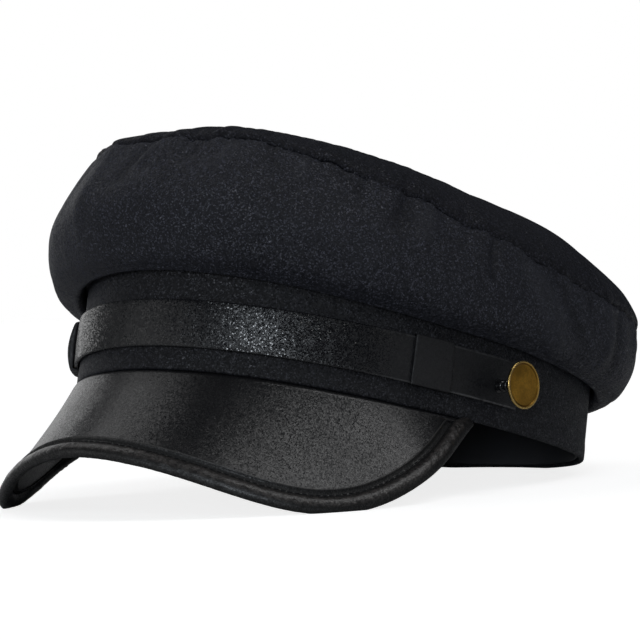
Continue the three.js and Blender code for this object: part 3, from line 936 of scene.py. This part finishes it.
# %% Carry it along the edge
BINDING_COLUMNS, BINDING_END, TAPER_FROM, TAPER = 560, 0.974, 0.958, 0.30
GATHER, CORNER_GATHER, SLOW_GATHER, TAPE_EDGE, TAPE_WAVE = 0.14, 0.42, 0.08, -4.9, 0.10
share = np.linspace(-BINDING_END, BINDING_END, BINDING_COLUMNS + 1)
out, under = peak_frame(np.clip(share, -FRAME_HOLDS, FRAME_HOLDS))
centre = peak_edge(share)
run = run_along(centre)
near_corner = np.clip((np.abs(share) - DRAWN_FROM) / 0.25, 0, 1)
at_end = np.clip((np.abs(share) - TAPER_FROM) / (BINDING_END - TAPER_FROM), 0, 1)
taper = 1 - TAPER * at_end ** 2
slow = noise_at(together(run / 4.5, 7.0, 1.5))
rows = []
for x, z in section:
    quick = noise_at(together((run + 0.9 * x) / 1.1, x / 5.0, 0.5))
    on_roll = np.clip((x + 3.4) / 1.2, 0, 1) * np.clip((3.2 - x) / 1.5, 0.2, 1)
    push = on_roll * (quick * (GATHER + CORNER_GATHER * near_corner) + SLOW_GATHER * slow)
    puff = (1 + push / max(math.hypot(x, z), 1.0)) * taper
    edge_wave = (x < TAPE_EDGE) * TAPE_WAVE * (slow + quick)
    rows.append(centre + out * (x * puff + edge_wave)[:, None] - under * (z * puff)[:, None])
round_share = np.linspace(0, 1, len(section))
binding_uv = together(np.pad(run, 1, "edge") * MM, round_share[:, None])
binding = grid_piece("peak_binding_leather", close_ends(np.array(rows)), binding_uv, outward=False)
finish_piece(binding, "peak_leather", "peak_binding")
print("the binding is", round(float(run[-1])), "mm long")

# %% [markdown]
# ## The stitches of the binding
# A lockstitch shows as a row of short thread bridges that dip into the leather at both
# ends. One bridge is a small capsule. It's copied along the groove, each copy turned to
# the groove's own direction, and the copies are joined into one piece. The thread lies
# in the groove, so that only the tops of the bridges catch light.

# %% Sew the groove
STITCH_PITCH, STITCH_LENGTH, THREAD_RADIUS, FIRST_STITCH = 2.5, 1.9, 0.21, 3.0
GROOVE, GROOVE_HEIGHTS = -3.85, (0.74, -0.68)
bpy.ops.mesh.primitive_uv_sphere_add(segments=8, ring_count=6, radius=THREAD_RADIUS * MM)
bridge = bpy.context.object
bridge_points = np.array([vertex.co[:] for vertex in bridge.data.vertices]) / MM
bridge_points[:, 2] *= STITCH_LENGTH / 2 / THREAD_RADIUS
bridge_faces = [list(face.vertices) for face in bridge.data.polygons]
bpy.data.objects.remove(bridge)

marks = np.arange(FIRST_STITCH, run[-1] - FIRST_STITCH, STITCH_PITCH)
places = np.interp(marks, run, share)
stitch_out, stitch_under = peak_frame(places)
stitch_along = unit(peak_edge(places + BESIDE / 2) - peak_edge(places - BESIDE / 2))
stitch_turns = np.stack([stitch_out, stitch_under, stitch_along], 1)
all_points, all_faces = [], []
for k, middle in enumerate(peak_edge(places)):
    for height in GROOVE_HEIGHTS:
        start = len(all_points) * len(bridge_points)
        all_faces += [[start + i for i in face] for face in bridge_faces]
        place = middle + stitch_out[k] * GROOVE - stitch_under[k] * height
        all_points.append(place + bridge_points @ stitch_turns[k])
mesh = bpy.data.meshes.new("binding_stitches")
mesh.from_pydata(rest(np.vstack(all_points)).tolist(), [], all_faces)
mesh.update()
mesh.uv_layers.new(name="UVMap")
stitches = bpy.data.objects.new("binding_stitches", mesh)
bpy.context.collection.objects.link(stitches)
mesh.polygons.foreach_set("use_smooth", [True] * len(mesh.polygons))
finish_piece(stitches, "peak_leather")
print(len(marks), "stitches on each side of the binding")

# %% [markdown]
# ## Shader maths in plain expressions
# A finish is a small sum: grain times height, stain times colour. The class below wraps
# one socket of a node, so that such a sum can be written as one. Adding, subtracting or
# multiplying two wrapped sockets adds the Math node that does it. All other nodes come
# from one method, which takes the node's type, its settings and its inputs.

# %% The socket
class Amount:
    """One socket with numbers in it, and the sums that can be done with it."""

    def __init__(self, finish, socket):
        self.finish = finish
        self.socket = socket

    def sum(self, operation, *others):
        return self.finish.node("ShaderNodeMath", {"operation": operation}, (self, *others))

    def __add__(self, other):
        return self.sum("ADD", other)

    def __mul__(self, other):
        return self.sum("MULTIPLY", other)

    def __sub__(self, other):
        return self.sum("SUBTRACT", other)

    def __rsub__(self, other):
        return (self * -1.0) + other

    def __pow__(self, other):
        return self.sum("POWER", other)

    __radd__, __rmul__ = __add__, __mul__

    def above(self, edge):
        return self.sum("GREATER_THAN", edge)

    def below(self, edge):
        return self.sum("LESS_THAN", edge)

    def clamped(self, low, high):
        """Runs from 0 to 1 between two values."""
        ends = {"Value": self, "From Min": low, "From Max": high}
        return self.finish.node("ShaderNodeMapRange", {}, ends)

    def within(self, low, full, fading, gone):
        """Rises to 1 between the first two values and falls back between the last two."""
        return self.clamped(low, full) * (1 - self.clamped(fading, gone))


# %% The finish
class Finish:
    """A material in the making."""

    def __init__(self, name, **constants):
        self.material = bpy.data.materials.new(name)
        self.material.use_nodes = True
        self.tree = self.material.node_tree
        self.shader = self.tree.nodes["Principled BSDF"]
        for key, value in constants.items():
            self.shader.inputs[key.replace("_", " ")].default_value = value

    def node(self, kind, settings, inputs, output=0):
        """Any node: its type, its settings, the values or links of its inputs, its output."""
        node = self.tree.nodes.new(kind)
        for key, value in settings.items():
            setattr(node, key, value)
        pairs = inputs.items() if isinstance(inputs, dict) else enumerate(inputs)
        for key, value in pairs:
            if isinstance(value, Amount):
                self.tree.links.new(value.socket, node.inputs[key])
            else:
                node.inputs[key].default_value = value
        return Amount(self, node.outputs[output])

    def place(self, kind="Object"):
        return self.node("ShaderNodeTexCoord", {}, (), kind)

    def along(self, axis, kind="Object"):
        """One number of the place: X, Y or Z."""
        return self.node("ShaderNodeSeparateXYZ", {}, {"Vector": self.place(kind)}, axis)

    def attribute(self, name):
        return self.node("ShaderNodeAttribute", {"attribute_name": name}, (), "Fac")

    def noise(self, where, scale, detail=3.0, roughness=0.5):
        inputs = {"Vector": where, "Scale": scale, "Detail": detail, "Roughness": roughness}
        return self.node("ShaderNodeTexNoise", {}, inputs)

    def cells(self, where, scale, feature="F1", output="Distance"):
        inputs = {"Vector": where, "Scale": scale}
        return self.node("ShaderNodeTexVoronoi", {"feature": feature}, inputs, output)

    def lot(self, where, scale, which=0):
        """A number that is drawn anew for each small cell. Each cell has three of them."""
        colour = self.cells(where, scale, output="Color")
        return self.node("ShaderNodeSeparateColor", {}, {"Color": colour}, which)

    def lines(self, where, scale, direction="DIAGONAL", distortion=0.0):
        inputs = {"Vector": where, "Scale": scale, "Distortion": distortion}
        return self.node("ShaderNodeTexWave", {"bands_direction": direction}, inputs)

    def blend(self, amount, first, second):
        """Between two colours, by an amount from 0 to 1."""
        first, second = (c if isinstance(c, Amount) else (*c, 1) for c in (first, second))
        inputs = {0: amount, 6: first, 7: second}
        return self.node("ShaderNodeMix", {"data_type": "RGBA"}, inputs, 2)

    def vector(self, operation, inputs):
        return self.node("ShaderNodeVectorMath", {"operation": operation}, inputs)

    def facets(self, where, scale, tilt):
        """A normal that is tilted anew in each small cell, by up to half the tilt."""
        drawn = self.cells(where, scale, output="Color")
        away = self.vector("SUBTRACT", (drawn, (0.5, 0.5, 0.5)))
        away = self.vector("SCALE", {"Vector": away, "Scale": tilt})
        straight = self.node("ShaderNodeNewGeometry", {}, (), "Normal")
        return self.vector("NORMALIZE", (self.vector("ADD", (away, straight)),))

    def bump(self, height, distance, strength, over=None):
        inputs = {"Height": height, "Distance": distance, "Strength": strength}
        if over is not None:
            inputs["Normal"] = over
        return self.node("ShaderNodeBump", {}, inputs)

    def so_far(self, key):
        """What feeds one of the shader's inputs already, so that more can be added."""
        return Amount(self, self.shader.inputs[key].links[0].from_socket)

    def set(self, **links):
        for key, value in links.items():
            self.tree.links.new(value.socket, self.shader.inputs[key.replace("_", " ")])

    def on(self, *pieces):
        for piece in pieces:
            piece.data.materials.clear()
            piece.data.materials.append(self.material)


# %% [markdown]
# ## The crown's cloth
# The crown is a coated black twill. From afar it's nearly black with a cool sheen, and
# where light falls on it, single threads glint like fine sand. The weave is a diagonal
# wave on the cloth's own UV map. The glints are small cells, each tilted a little its
# own way, so they only shine where the light suits them, and some of those cells get a
# pale colour, a painted glint. The top has a darker copy of the cloth, painted shade, so
# it looks darker than the side. A little lint lies on crown and band. On the side, the
# ridges of the creases are rubbed pale and get a painted highlight, and their valleys
# get painted shade.

# %% Finish of the crown and the band
THREADS, LINT_CELLS, LINT_SIZE, LINT_GREY = 2250.0, 240.0, 0.065, (0.16, 0.16, 0.17)
COOL_SHEEN, PAINTED_GLINT = (0.62, 0.68, 0.85, 1), 5.5


def cloth(name, base, worn, sheen, gloss, rough, lint):
    """Twill with worn patches, glinting threads with a painted glint in their colour, and some lint.
    """
    finish = Finish(name, Sheen_Weight=sheen, Sheen_Roughness=0.5, Sheen_Tint=COOL_SHEEN,
                    Specular_IOR_Level=gloss)
    where = finish.place()
    patches = finish.noise(where, 34.0, 4.0, 0.55)
    fibre = finish.noise(where, 2600.0, 2.0, 0.6)
    weave = finish.lines(finish.place("UV"), 620.0, distortion=0.8)
    threads = finish.lot(where, THREADS)
    colour = finish.blend(patches.clamped(0.3, 0.75), base, worn)
    # Threads with the highest lot are painted pale: a painted glint that shows under any light
    colour = finish.blend(threads ** 6.0 * 0.9, colour, [PAINTED_GLINT * v for v in worn])
    near_cell = finish.cells(where, LINT_CELLS).below(LINT_SIZE)
    dust = finish.lot(where, LINT_CELLS).above(lint) * near_cell
    finish.set(Base_Color=finish.blend(dust, colour, LINT_GREY))
    finish.set(Roughness=(patches * 0.12 + rough) - threads ** 5.0 * 0.36)
    rumpled = finish.noise(where, 150.0, 3.0, 0.6)
    creases = finish.bump(rumpled, 0.0006, 0.30, finish.facets(where, THREADS, 0.8))
    finish.set(Normal=finish.bump(weave * 0.25 + fibre, 0.00010, 0.4, creases))
    return finish


crown_cloth = cloth("crown_cloth_coated_twill", (0.0116, 0.0120, 0.0155),
                    (0.0166, 0.0171, 0.0219), 0.03, 0.20, 0.50, 0.95)
raised = crown_cloth.attribute("raised")
# Crease ridges get a lighter colour, rubbed wear and painted highlight; valleys get a darker one,
# painted shade
ridge_wear_and_highlight, painted_valley_shade = raised.clamped(0.55, 0.95) * 0.45, (1 - raised.clamped(0.05, 0.45)) * 0.5
rubbed = crown_cloth.blend(ridge_wear_and_highlight, crown_cloth.so_far("Base Color"), (0.0330, 0.0340, 0.0410))
crown_cloth.set(Base_Color=crown_cloth.blend(painted_valley_shade, rubbed, (0.0070, 0.0072, 0.0095)))
crown_cloth.on(crown_side)
# The top is a darker copy of the side's cloth: painted shade
top_cloth = cloth("top_cloth_painted_darker", (0.0070, 0.0071, 0.0094),
                  (0.0100, 0.0101, 0.0132), 0.02, 0.16, 0.52, 0.97)
top_cloth.on(crown_top)
band_cloth = cloth("band_cloth_plain", (0.0088, 0.0089, 0.0104),
                   (0.0116, 0.0118, 0.0138), 0.03, 0.22, 0.54, 0.88)
band_cloth.on(band)
print("cloth on crown and band:", len(crown_cloth.tree.nodes), "nodes on the side")

# %% [markdown]
# ## The patent strap
# Patent leather has a clear coat over a fine crinkle. Seen square on, its highlight
# breaks up into glitter, because each speck of the crinkle faces its own way. Seen at a
# low angle the same strap turns white. The crinkle here is a field of small tilted cells
# over soft, wider dents. The keepers are of a duller leather, made the same way.

# %% Finish of the strap and the keepers
def patent(name, base, rough, glossy, scale, tilt, dents):
    """Crinkled leather, in which every second cell is glossier by some roughness."""
    finish = Finish(name, Specular_IOR_Level=0.5, Base_Color=(*base, 1))
    where = finish.place()
    chosen = finish.lot(where, scale, 1).above(0.5)
    wide = finish.noise(where, 240.0, 3.0, 0.5)
    finish.set(Roughness=(wide * 0.14 + rough) - chosen * glossy)
    finish.set(Normal=finish.bump(wide, 0.0007, dents, finish.facets(where, scale, tilt)))
    return finish


STRAP_BLACK = (0.0068, 0.0070, 0.0085)
strap_finish = patent("strap_patent_leather", STRAP_BLACK, 0.30, 0.23, 2900.0, 0.29, 0.04)
strap_finish.on(strap)
KEEPER_BLACK = (0.0092, 0.0092, 0.0108)
keeper_finish = patent("keeper_matte_leather", KEEPER_BLACK, 0.50, 0.12, 1900.0, 0.34, 0.15)
keeper_finish.on(keeper_left, keeper_right)
print("leather on strap and keepers:", len(strap_finish.tree.nodes), "nodes on the strap")

# %% [markdown]
# ## Cut edges and worn gloss
# Near the left button, a pale line is painted along both long edges of the strap. It is
# a painted highlight where the rounded edges catch light, broken up by noise. Beyond the
# keeper there the gloss is rubbed off, and round the middle of the front it's a little
# duller too. The strap's own UV map says how far round its section a point lies, and its
# place across the cap says where along the strap it is.

# %% The strap's painted edge highlights and dull parts
round_strap, across_cap = strap_finish.along("Y", "UV"), strap_finish.along("X")
lower_edge = 1 - round_strap.clamped(0.0006, 0.0009)
upper_edge = round_strap.within(0.0156, 0.0159, 0.0168, 0.0171)
edge_highlight_breaks = strap_finish.noise(strap_finish.place(), 500.0, 3.0, 0.6).clamped(0.3, 0.5)
# A pale line painted along both long edges near the left button: a painted highlight
painted_edge_highlight = (lower_edge + upper_edge * 0.4) * across_cap.clamped(0.064, 0.076) * edge_highlight_breaks
strap_finish.set(Base_Color=strap_finish.blend(painted_edge_highlight, STRAP_BLACK, (0.095, 0.094, 0.096)))
dull_half = across_cap.within(-0.042, -0.020, 0.004, 0.030)
less_polished = dull_half * 0.13 + across_cap.clamped(0.066, 0.075) * 0.30
strap_finish.set(Roughness=strap_finish.so_far("Roughness") + less_polished)

# %% [markdown]
# ## The peak's leather
# The peak is covered with fine-grained, half-glossy leather. The grain is a net of small
# pebbles with furrows between them. It's fine enough that it's hardly seen itself, but
# it breaks the broad highlights into a speckle, and lacquer is left on some pebbles.

# %% Finish of the peak
def grained(name, base, rubbed, rough, tilt, scale, lacquer):
    """Fine-grained leather, rubbed here and there, with lacquer left on some pebbles."""
    finish = Finish(name, Specular_IOR_Level=0.35, Coat_Roughness=0.30)
    where = finish.place()
    pebbles = finish.lot(where, scale, 2)
    furrows = finish.cells(where, scale, "DISTANCE_TO_EDGE").clamped(0.0, 0.16)
    wear = finish.noise(where, 42.0, 3.0, 0.5).clamped(0.35, 0.7)
    dents = finish.noise(where, 120.0, 2.0, 0.5)
    finish.set(Base_Color=finish.blend(wear, base, rubbed))
    finish.set(Roughness=(wear * 0.06 + rough) - furrows * 0.04)
    finish.set(Coat_Weight=pebbles ** 2.0 * lacquer)
    finish.set(Normal=finish.bump(dents, 0.0005, 0.12, finish.facets(where, scale, tilt)))
    return finish


peak_finish = grained("peak_grained_leather", (0.0070, 0.0070, 0.0082),
                      (0.0095, 0.0093, 0.0102), 0.30, 0.22, 2900.0, 0.75)
peak_finish.on(peak)
print("leather on the peak:", len(peak_finish.tree.nodes), "nodes")

# %% [markdown]
# ## The binding's leather
# The same leather is stretched over the roll. Its crest is rubbed brown and shiny and
# gets a painted highlight, the edge of the tape gets a painted highlight, and the channel
# with the stitches is pressed down and dull and gets painted shade. How far round the
# roll a point lies is the second number of its UV map, so that number says which is which.

# %% Finish of the binding
binding_finish = grained("binding_leather", (0.0070, 0.0068, 0.0070),
                         (0.0110, 0.0105, 0.0105), 0.32, 0.26, 2700.0, 0.8)


def round_at(*places):
    """How far round the roll some points of the section's upper line lie."""
    return np.interp(places, UPPER_LINE[:, 0], round_share[:len(UPPER_LINE)]).tolist()


round_it = binding_finish.along("Y", "UV")
crest = round_it.within(*round_at(-2.8, -2.2, 0.4, 1.6))
channel = round_it.within(*round_at(-5.3, -5.0, -3.3, -2.95))
painted_tape_highlight = round_it.within(*round_at(-5.88, -5.70, -5.45, -5.25))
flank = round_it.clamped(*round_at(1.0, 2.3))
streaks = binding_finish.noise(binding_finish.place(), 700.0, 4.0, 0.6).clamped(0.35, 0.65)
colour = binding_finish.so_far("Base Color")
# The crest is lighter and browner, rubbed wear and a painted highlight; the tape edge is a painted
# highlight
colour = binding_finish.blend(crest * streaks, colour, (0.0540, 0.0475, 0.0450))
colour = binding_finish.blend(painted_tape_highlight, colour, (0.0450, 0.0430, 0.0420))
# The stitch channel is darkened: painted shade
binding_finish.set(Base_Color=binding_finish.blend(channel * 0.7, colour, (0.0030, 0.0030, 0.0032)))
dull = channel * 0.30 + flank * 0.20 + streaks * crest * 0.06
binding_finish.set(Roughness=binding_finish.so_far("Roughness") + dull)
binding_finish.on(binding)
print("leather on the binding:", len(binding_finish.tree.nodes), "nodes")

# %% [markdown]
# ## Lining and thread
# The sweatband is a smooth blue-black lining with a faint gloss and fine upright ribs.
# The thread is dull black.

# %% Finish of the lining and the thread
lining = Finish("lining_satin", Sheen_Weight=0.05, Specular_IOR_Level=0.4)
cloudy = lining.noise(lining.place(), 60.0, 3.0, 0.5)
lining.set(Base_Color=lining.blend(cloudy, (0.0450, 0.0470, 0.0550), (0.0650, 0.0680, 0.0800)))
lining.set(Roughness=cloudy * 0.15 + 0.42)
lining.set(Normal=lining.bump(lining.lines(lining.place("UV"), 420.0, "X"), 0.0001, 0.3))
lining.on(sweatband)

thread = Finish("thread_black", Roughness=0.6, Specular_IOR_Level=0.3)
thread_fibre = thread.noise(thread.place(), 1800.0, 2.0, 0.6)
thread.set(Base_Color=thread.blend(thread_fibre, (0.008, 0.008, 0.009), (0.018, 0.018, 0.020)))
thread.set(Normal=thread.bump(thread_fibre, 0.0001, 0.5))
thread.on(stitches)

# %% [markdown]
# ## Brass and enamel
# The brass is old: its face is mottled brown and gold, and only the raised rim is
# rubbed bright, with tarnish left in the step inside it. How far a point is from the
# button's axis says where the rim is, and that distance is stored on each disc as an
# attribute. A second one marks the back, which is painted black. The shank is covered
# with glossy black enamel.

# %% Mark the rim and the back of each disc
BACK_FROM = BUTTON_STANDOFF - 0.8 * BUTTON_EDGE
for piece, place in zip(discs, BUTTON_PLACES.values()):
    back_again = place.inverted()
    local = [back_again @ vertex.co for vertex in piece.data.vertices]
    marks = {
        "rim": [point.xy.length / (BUTTON_RADIUS * MM) for point in local],
        "back_face": [float(point.z < BACK_FROM * MM) for point in local],
    }
    for mark, values in marks.items():
        piece.data.attributes.new(mark, "FLOAT", "POINT").data.foreach_set("value", values)
    print(piece.name, int(sum(marks["back_face"])), "points on the back")

# %% Finish of the brass and the enamel
brass = Finish("brass_antique", Metallic=1.0)
where = brass.place()
from_axis = brass.attribute("rim")
rim = from_axis.clamped(0.91, 0.95)
stain = brass.noise(where, 420.0, 5.0, 0.65).clamped(0.36, 0.66)
clouds = brass.noise(where, 120.0, 2.0, 0.5).clamped(0.38, 0.62)
spots = brass.noise(where, 1500.0, 3.0, 0.6).clamped(0.45, 0.7)
face = brass.blend(stain, (0.74, 0.41, 0.062), (0.50, 0.265, 0.038))
for layer, colour in (
    (clouds * 0.9, (0.34, 0.185, 0.030)),
    (spots * 0.5, (0.24, 0.125, 0.022)),
    (from_axis.within(0.83, 0.87, 0.895, 0.91) * 0.8, (0.11, 0.055, 0.012)),
    (rim, (0.86, 0.60, 0.21)),
    (brass.attribute("back_face"), (0.010, 0.008, 0.006)),
):
    face = brass.blend(layer, face, colour)
brass.set(Base_Color=face, Roughness=(stain * 0.14 + 0.32) - rim * 0.14)
brass.set(Normal=brass.bump((stain + spots * 0.5) * (1 - rim), 0.00010, 0.3))
brass.on(*discs)

enamel = Finish("shank_black_enamel", Roughness=0.16, Specular_IOR_Level=0.6)
drops = enamel.noise(enamel.place(), 300.0, 2.0, 0.5)
enamel.set(Base_Color=enamel.blend(drops, (0.006, 0.006, 0.007), (0.010, 0.010, 0.011)))
enamel.on(*shanks)

# %% [markdown]
# ## Table, light and camera
# The cap stands on a white light table. The table shines for the camera alone, so that
# it looks white while little light comes back up to the cap. Black goods are lit by
# what they reflect, so each light is a far, soft-edged window, placed for one highlight:
# the front ones make the strap's glitter and show the cloth, the left one the white
# ends of the strap and the peak, and the high ones the two bright fields of the peak.
# Two tiny lamps make the sparks on the shank.

# %% The table and the sky
bpy.ops.mesh.primitive_circle_add(vertices=96, radius=4.0, fill_type="NGON")
table = bpy.context.object
table.name = "table"
table_finish = Finish("table_light", Base_Color=(0.6, 0.6, 0.6, 1), Roughness=0.9,
                      Specular_IOR_Level=0.1, Emission_Strength=0.82)
table_finish.set(Emission_Color=table_finish.node("ShaderNodeLightPath", {}, (), "Is Camera Ray"))
table_finish.on(table)
table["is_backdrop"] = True

world = bpy.data.worlds.new("studio")
bpy.context.scene.world = world
world.use_nodes = True
sky = world.node_tree
dim, bright = sky.nodes["Background"], sky.nodes.new("ShaderNodeBackground")
for light, colour, strength in ((dim, (0.85, 0.91, 1, 1), 0.04), (bright, (1, 1, 1, 1), 1.0)):
    light.inputs["Color"].default_value = colour
    light.inputs["Strength"].default_value = strength
path, mix = sky.nodes.new("ShaderNodeLightPath"), sky.nodes.new("ShaderNodeMixShader")
for source, end in (
    (path.outputs["Is Camera Ray"], mix.inputs["Fac"]),
    (dim.outputs["Background"], mix.inputs[1]),
    (bright.outputs["Background"], mix.inputs[2]),
    (mix.outputs["Shader"], sky.nodes["World Output"].inputs["Surface"]),
):
    sky.links.new(source, end)


# %% The lights
def lamp_from(kind, name, azimuth, elevation):
    """A lamp that shines from an azimuth and an elevation in degrees, and its direction."""
    a, e = math.radians(azimuth), math.radians(elevation)
    way = Vector((math.sin(a) * math.cos(e), -math.cos(a) * math.cos(e), math.sin(e)))
    bpy.ops.object.light_add(type=kind)
    lamp = bpy.context.object
    lamp.name = name
    lamp.rotation_euler = way.to_track_quat("Z", "Y").to_euler()
    return lamp, way


def soft_sun(name, azimuth, elevation, spread, strength, colour=(1, 1, 1)):
    """A light from far away, as even on the table as on the cap."""
    lamp, _ = lamp_from("SUN", name, azimuth, elevation)
    lamp.data.angle = math.radians(spread)
    lamp.data.energy = strength
    lamp.data.color = colour
    lamp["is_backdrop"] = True


def small_lamp(name, azimuth, elevation, size, watts):
    """A small square lamp, some way from the cap."""
    lamp, way = lamp_from("AREA", name, azimuth, elevation)
    lamp.data.shape = "RECTANGLE"
    lamp.data.size = lamp.data.size_y = size
    lamp.data.energy = watts
    lamp.location = Vector((0, -0.03, 0.06)) + way * 1.6
    lamp.visible_camera = False
    lamp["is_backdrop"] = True


COOL_WHITE = (0.86, 0.93, 1.0)
soft_sun("front", 34, 8, 12, 0.54, COOL_WHITE)
soft_sun("front_high", 30, 30, 16, 0.23, COOL_WHITE)
soft_sun("front_middle", 5, 8, 16, 0.13, COOL_WHITE)
soft_sun("front_wide", -20, 8, 36, 0.12)
soft_sun("front_left", -45, 12, 36, 0.21)
soft_sun("left", -113, 10, 36, 0.23)
soft_sun("high_left", -92, 61, 36, 0.29)
soft_sun("high_right", 107, 66, 24, 0.34)
soft_sun("back_right", 118, 49, 22, 0.18)
soft_sun("low_right", 110, 12, 30, 0.08)
small_lamp("spark_high", 62, 34, 0.10, 0.25)
small_lamp("spark_low", 78, 30, 0.08, 0.15)

# %% The camera
CAMERA_AZIMUTH, CAMERA_ELEVATION, CAMERA_ROLL = 40.01, 0.596, -2.164
CAMERA_DISTANCE, CAMERA_LEAN = 1201.0, math.radians(13.047)
CAMERA_TARGET = np.array([45.787, -60.0, 39.515])
LENS_PIXELS, PICTURE, SENSOR = 3568.466, 640, 36.0
a, e, r = (math.radians(v) for v in (CAMERA_AZIMUTH, CAMERA_ELEVATION, CAMERA_ROLL))
back = np.array([math.sin(a) * math.cos(e), -math.cos(a) * math.cos(e), math.sin(e)])
level = np.array([math.cos(a), math.sin(a), 0.0])
upright = np.cross(back, level)
right = math.cos(r) * level + math.sin(r) * upright
up = -math.sin(r) * level + math.cos(r) * upright

# The view was measured on a cap that leans back a little less than the resting one
pitch = LEAN - CAMERA_LEAN
eye = (leaned(CAMERA_TARGET + back * CAMERA_DISTANCE, pitch) + SHIFT) * MM
columns = [leaned(axis, pitch) for axis in (right, up, back)] + [eye]
bpy.ops.object.camera_add()
camera = bpy.context.object
camera.matrix_world = Matrix(np.column_stack(columns).tolist() + [[0, 0, 0, 1]])
camera.data.sensor_width = SENSOR
camera.data.lens = LENS_PIXELS / PICTURE * SENSOR
camera.data.clip_start, camera.data.clip_end = 0.05, 50.0
bpy.context.scene.camera = camera
bpy.context.scene.view_settings.view_transform = "Standard"
print("camera at", eye.round(4), "lens", round(camera.data.lens, 1), "mm")

# %% [markdown]
# ## The two boxes
# Dressing the cap mustn't make it bigger. Both boxes are printed, so that they can
# be set side by side.

# %% Print both boxes and finish
cap_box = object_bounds()
sizes = {"cad": [list(corner) for corner in cad_box], "visual": [list(corner) for corner in cap_box]}
for name, corners in sizes.items():
    print(name, [[round(v, 4) for v in corner] for corner in corners])
